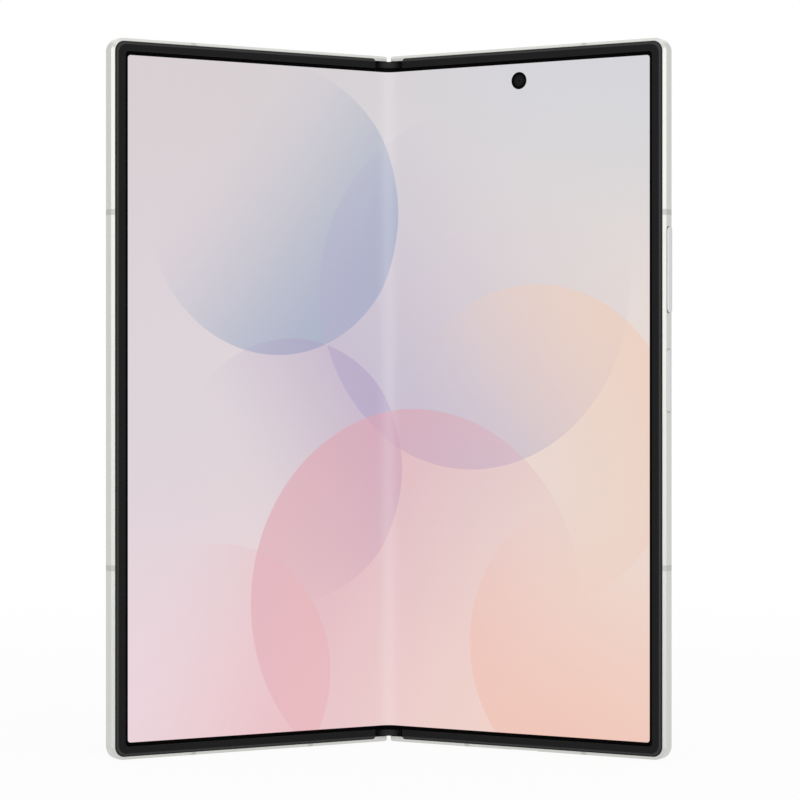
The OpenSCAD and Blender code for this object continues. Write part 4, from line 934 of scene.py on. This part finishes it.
bySlot = {
    "frame_metal": satinMetal, "band_plastic": bandPlastic, "bezel_rubber": bezelRubber, "display": screen,
    "cap_plastic": capPlastic, "spine_metal": spineMetal, "hinge_steel": hingeSteel, "gear_steel": gearSteel,
    "rear_glass": frostedGlass, "cover_glass": coverGlass, "cover_panel": panelBlack,
    "camera_black": cameraBlack, "ring_metal": ringMetal, "lens_glass": maskGlass, "flash_lens": flashLens,
    "board": circuitBoard, "shield_metal": shieldMetal, "cell_foil": cellFilm, "copper": copperWire,
}
slotOf = {part["node"]: part["material_slot"] for part in frame["record"]["subparts"]}
for name, node in cadNodes.items():
    node.data.materials.clear()
    node.data.materials.append(bySlot.get(slotOf.get(name), satinMetal))
for name in ("volume_key", "power_key"):
    cadNodes[name].data.materials[0] = keyMetal
print("finishes laid on", len(slotOf), "nodes")

studio = {
    "ambient": 0.58, "mirrorSide": 0.86, "mirrorEnds": 1.0, "mirrorAbove": 0.82,
    "endsReach": 0.8, "aboveFrom": (0.1, 0.7), "backFrom": (-0.45, 0.1),  # parts of a unit direction
    "floorTone": srgb(250, 250, 250), "floorReach": 12.0,
    "glowNear": 0.93, "glowFar": 0.992, "glowReach": (0.1, 0.6), "aim": (0.0, 0.0, 0.08),
    "lamps": [  # name, place, size, watts
        ("frontPanel", (-0.55, -1.2, 0.34), 1.0, 2.4),
        ("rightPanel", (0.62, -1.15, 0.3), 0.9, 1.9),
        ("topPanel", (0.0, -0.05, 1.4), 1.6, 3.6),
        ("rearPanel", (0.0, 1.6, 0.9), 2.2, 4.6),
    ],
}


def showsBackground(tree):
    # 1 for rays that see the background, directly or in metal or glass
    path = addNode(tree, "LightPath").outputs
    either = calc(tree, "MAXIMUM", path["Is Camera Ray"], path["Is Glossy Ray"])
    return calc(tree, "MAXIMUM", either, path["Is Transmission Ray"])


def joinShaders(tree, share, first, second, output):
    # Both shaders mixed by the share of the second, into the tree's output
    mix = addNode(tree, "MixShader")
    for socket, value in zip(mix.inputs, (share, first.outputs[0], second.outputs[0])):
        tree.links.new(value, socket)
    tree.links.new(mix.outputs[0], tree.nodes[output].inputs["Surface"])


def makeWorld():
    # Soft white light for matt surfaces, plain white for the camera; gloss sees a room that is white before
    # and behind the phone, a little darker at its sides and above its back
    world = bpy.data.worlds.new("studioWorld")
    world.use_nodes = True
    tree = world.node_tree
    soft = tree.nodes["Background"]
    soft.inputs["Color"].default_value = white
    soft.inputs["Strength"].default_value = studio["ambient"]
    heading = splitVector(tree, addNode(tree, "TexCoord").outputs["Object"])
    ends = calc(tree, "ABSOLUTE", heading["Y"])
    walls = remap(tree, ends, 0.0, studio["endsReach"], studio["mirrorSide"], studio["mirrorEnds"])
    above = remap(tree, heading["Z"], *studio["aboveFrom"], 0.0, 1.0)
    over = calc(tree, "MULTIPLY", above, remap(tree, heading["Y"], *studio["backFrom"], 0.0, 1.0))
    dimmed = calc(tree, "MULTIPLY", over, 1 - studio["mirrorAbove"])
    room = calc(tree, "MULTIPLY", walls, calc(tree, "SUBTRACT", 1.0, dimmed))
    path = addNode(tree, "LightPath").outputs
    direct = calc(tree, "MAXIMUM", path["Is Camera Ray"], path["Is Transmission Ray"])
    level = calc(tree, "MAXIMUM", room, direct)
    bright = addNode(tree, "Background", None, {"Color": white, "Strength": level})
    joinShaders(tree, showsBackground(tree), soft, bright, "World Output")
    bpy.context.scene.world = world


def makeFloor():
    # Pale matt floor that takes the phone's shadow; to the camera and in gloss it nears white further out
    corners = np.array([(-1, -1, 0), (1, -1, 0), (1, 1, 0), (-1, 1, 0)]) * studio["floorReach"]
    floor = meshPiece("floor", corners, np.array([[0, 1, 2, 3]]))
    material = bpy.data.materials.new("paleFloor")
    material.use_nodes = True
    tree = material.node_tree
    tree.nodes.remove(tree.nodes["Principled BSDF"])
    matt = addNode(tree, "BsdfDiffuse", None, {"Color": studio["floorTone"]})
    glow = addNode(tree, "Emission", None, {"Color": white, "Strength": 1.0})
    spot = vectorCalc(tree, "LENGTH", addNode(tree, "TexCoord").outputs["Object"])
    glowShare = remap(tree, spot, *studio["glowReach"], studio["glowNear"], studio["glowFar"])
    share = calc(tree, "MULTIPLY", showsBackground(tree), glowShare)
    joinShaders(tree, share, matt, glow, "Material Output")
    floor.data.materials.append(material)


def addLamp(name, spot, size, watts):
    # A square lamp that faces the phone
    data = bpy.data.lights.new(name, "AREA")
    data.shape, data.size, data.energy = "SQUARE", size, watts
    lamp = bpy.data.objects.new(name, data)
    lamp.location = spot
    aim = np.array(studio["aim"]) - np.array(spot)
    flatReach = math.hypot(aim[0], aim[1])
    lamp.rotation_euler = (math.atan2(flatReach, -aim[2]), 0, math.atan2(aim[1], aim[0]) - math.pi / 2)
    bpy.context.scene.collection.objects.link(lamp)


makeWorld()
makeFloor()
for lampName, spot, size, watts in studio["lamps"]:
    addLamp(lampName, spot, size, watts)

view = {
    "distance": 0.6717, "height": 0.0792, "lens": 133.98, "sensor": 36, "shiftX": 0.01406, "shiftY": -0.0015,
    "clip": (0.05, 20),
}
cameraData = bpy.data.cameras.new("photoCamera")
cameraData.sensor_width, cameraData.lens = view["sensor"], view["lens"]
cameraData.shift_x, cameraData.shift_y = view["shiftX"], view["shiftY"]
cameraData.clip_start, cameraData.clip_end = view["clip"]
camera = bpy.data.objects.new("photoCamera", cameraData)
camera.location = (0, -view["distance"], view["height"])
camera.rotation_euler = (math.pi / 2, 0, 0)
bpy.context.scene.collection.objects.link(camera)
bpy.context.scene.camera = camera
bpy.context.scene.view_settings.view_transform = "Standard"
print("studio and camera ready")
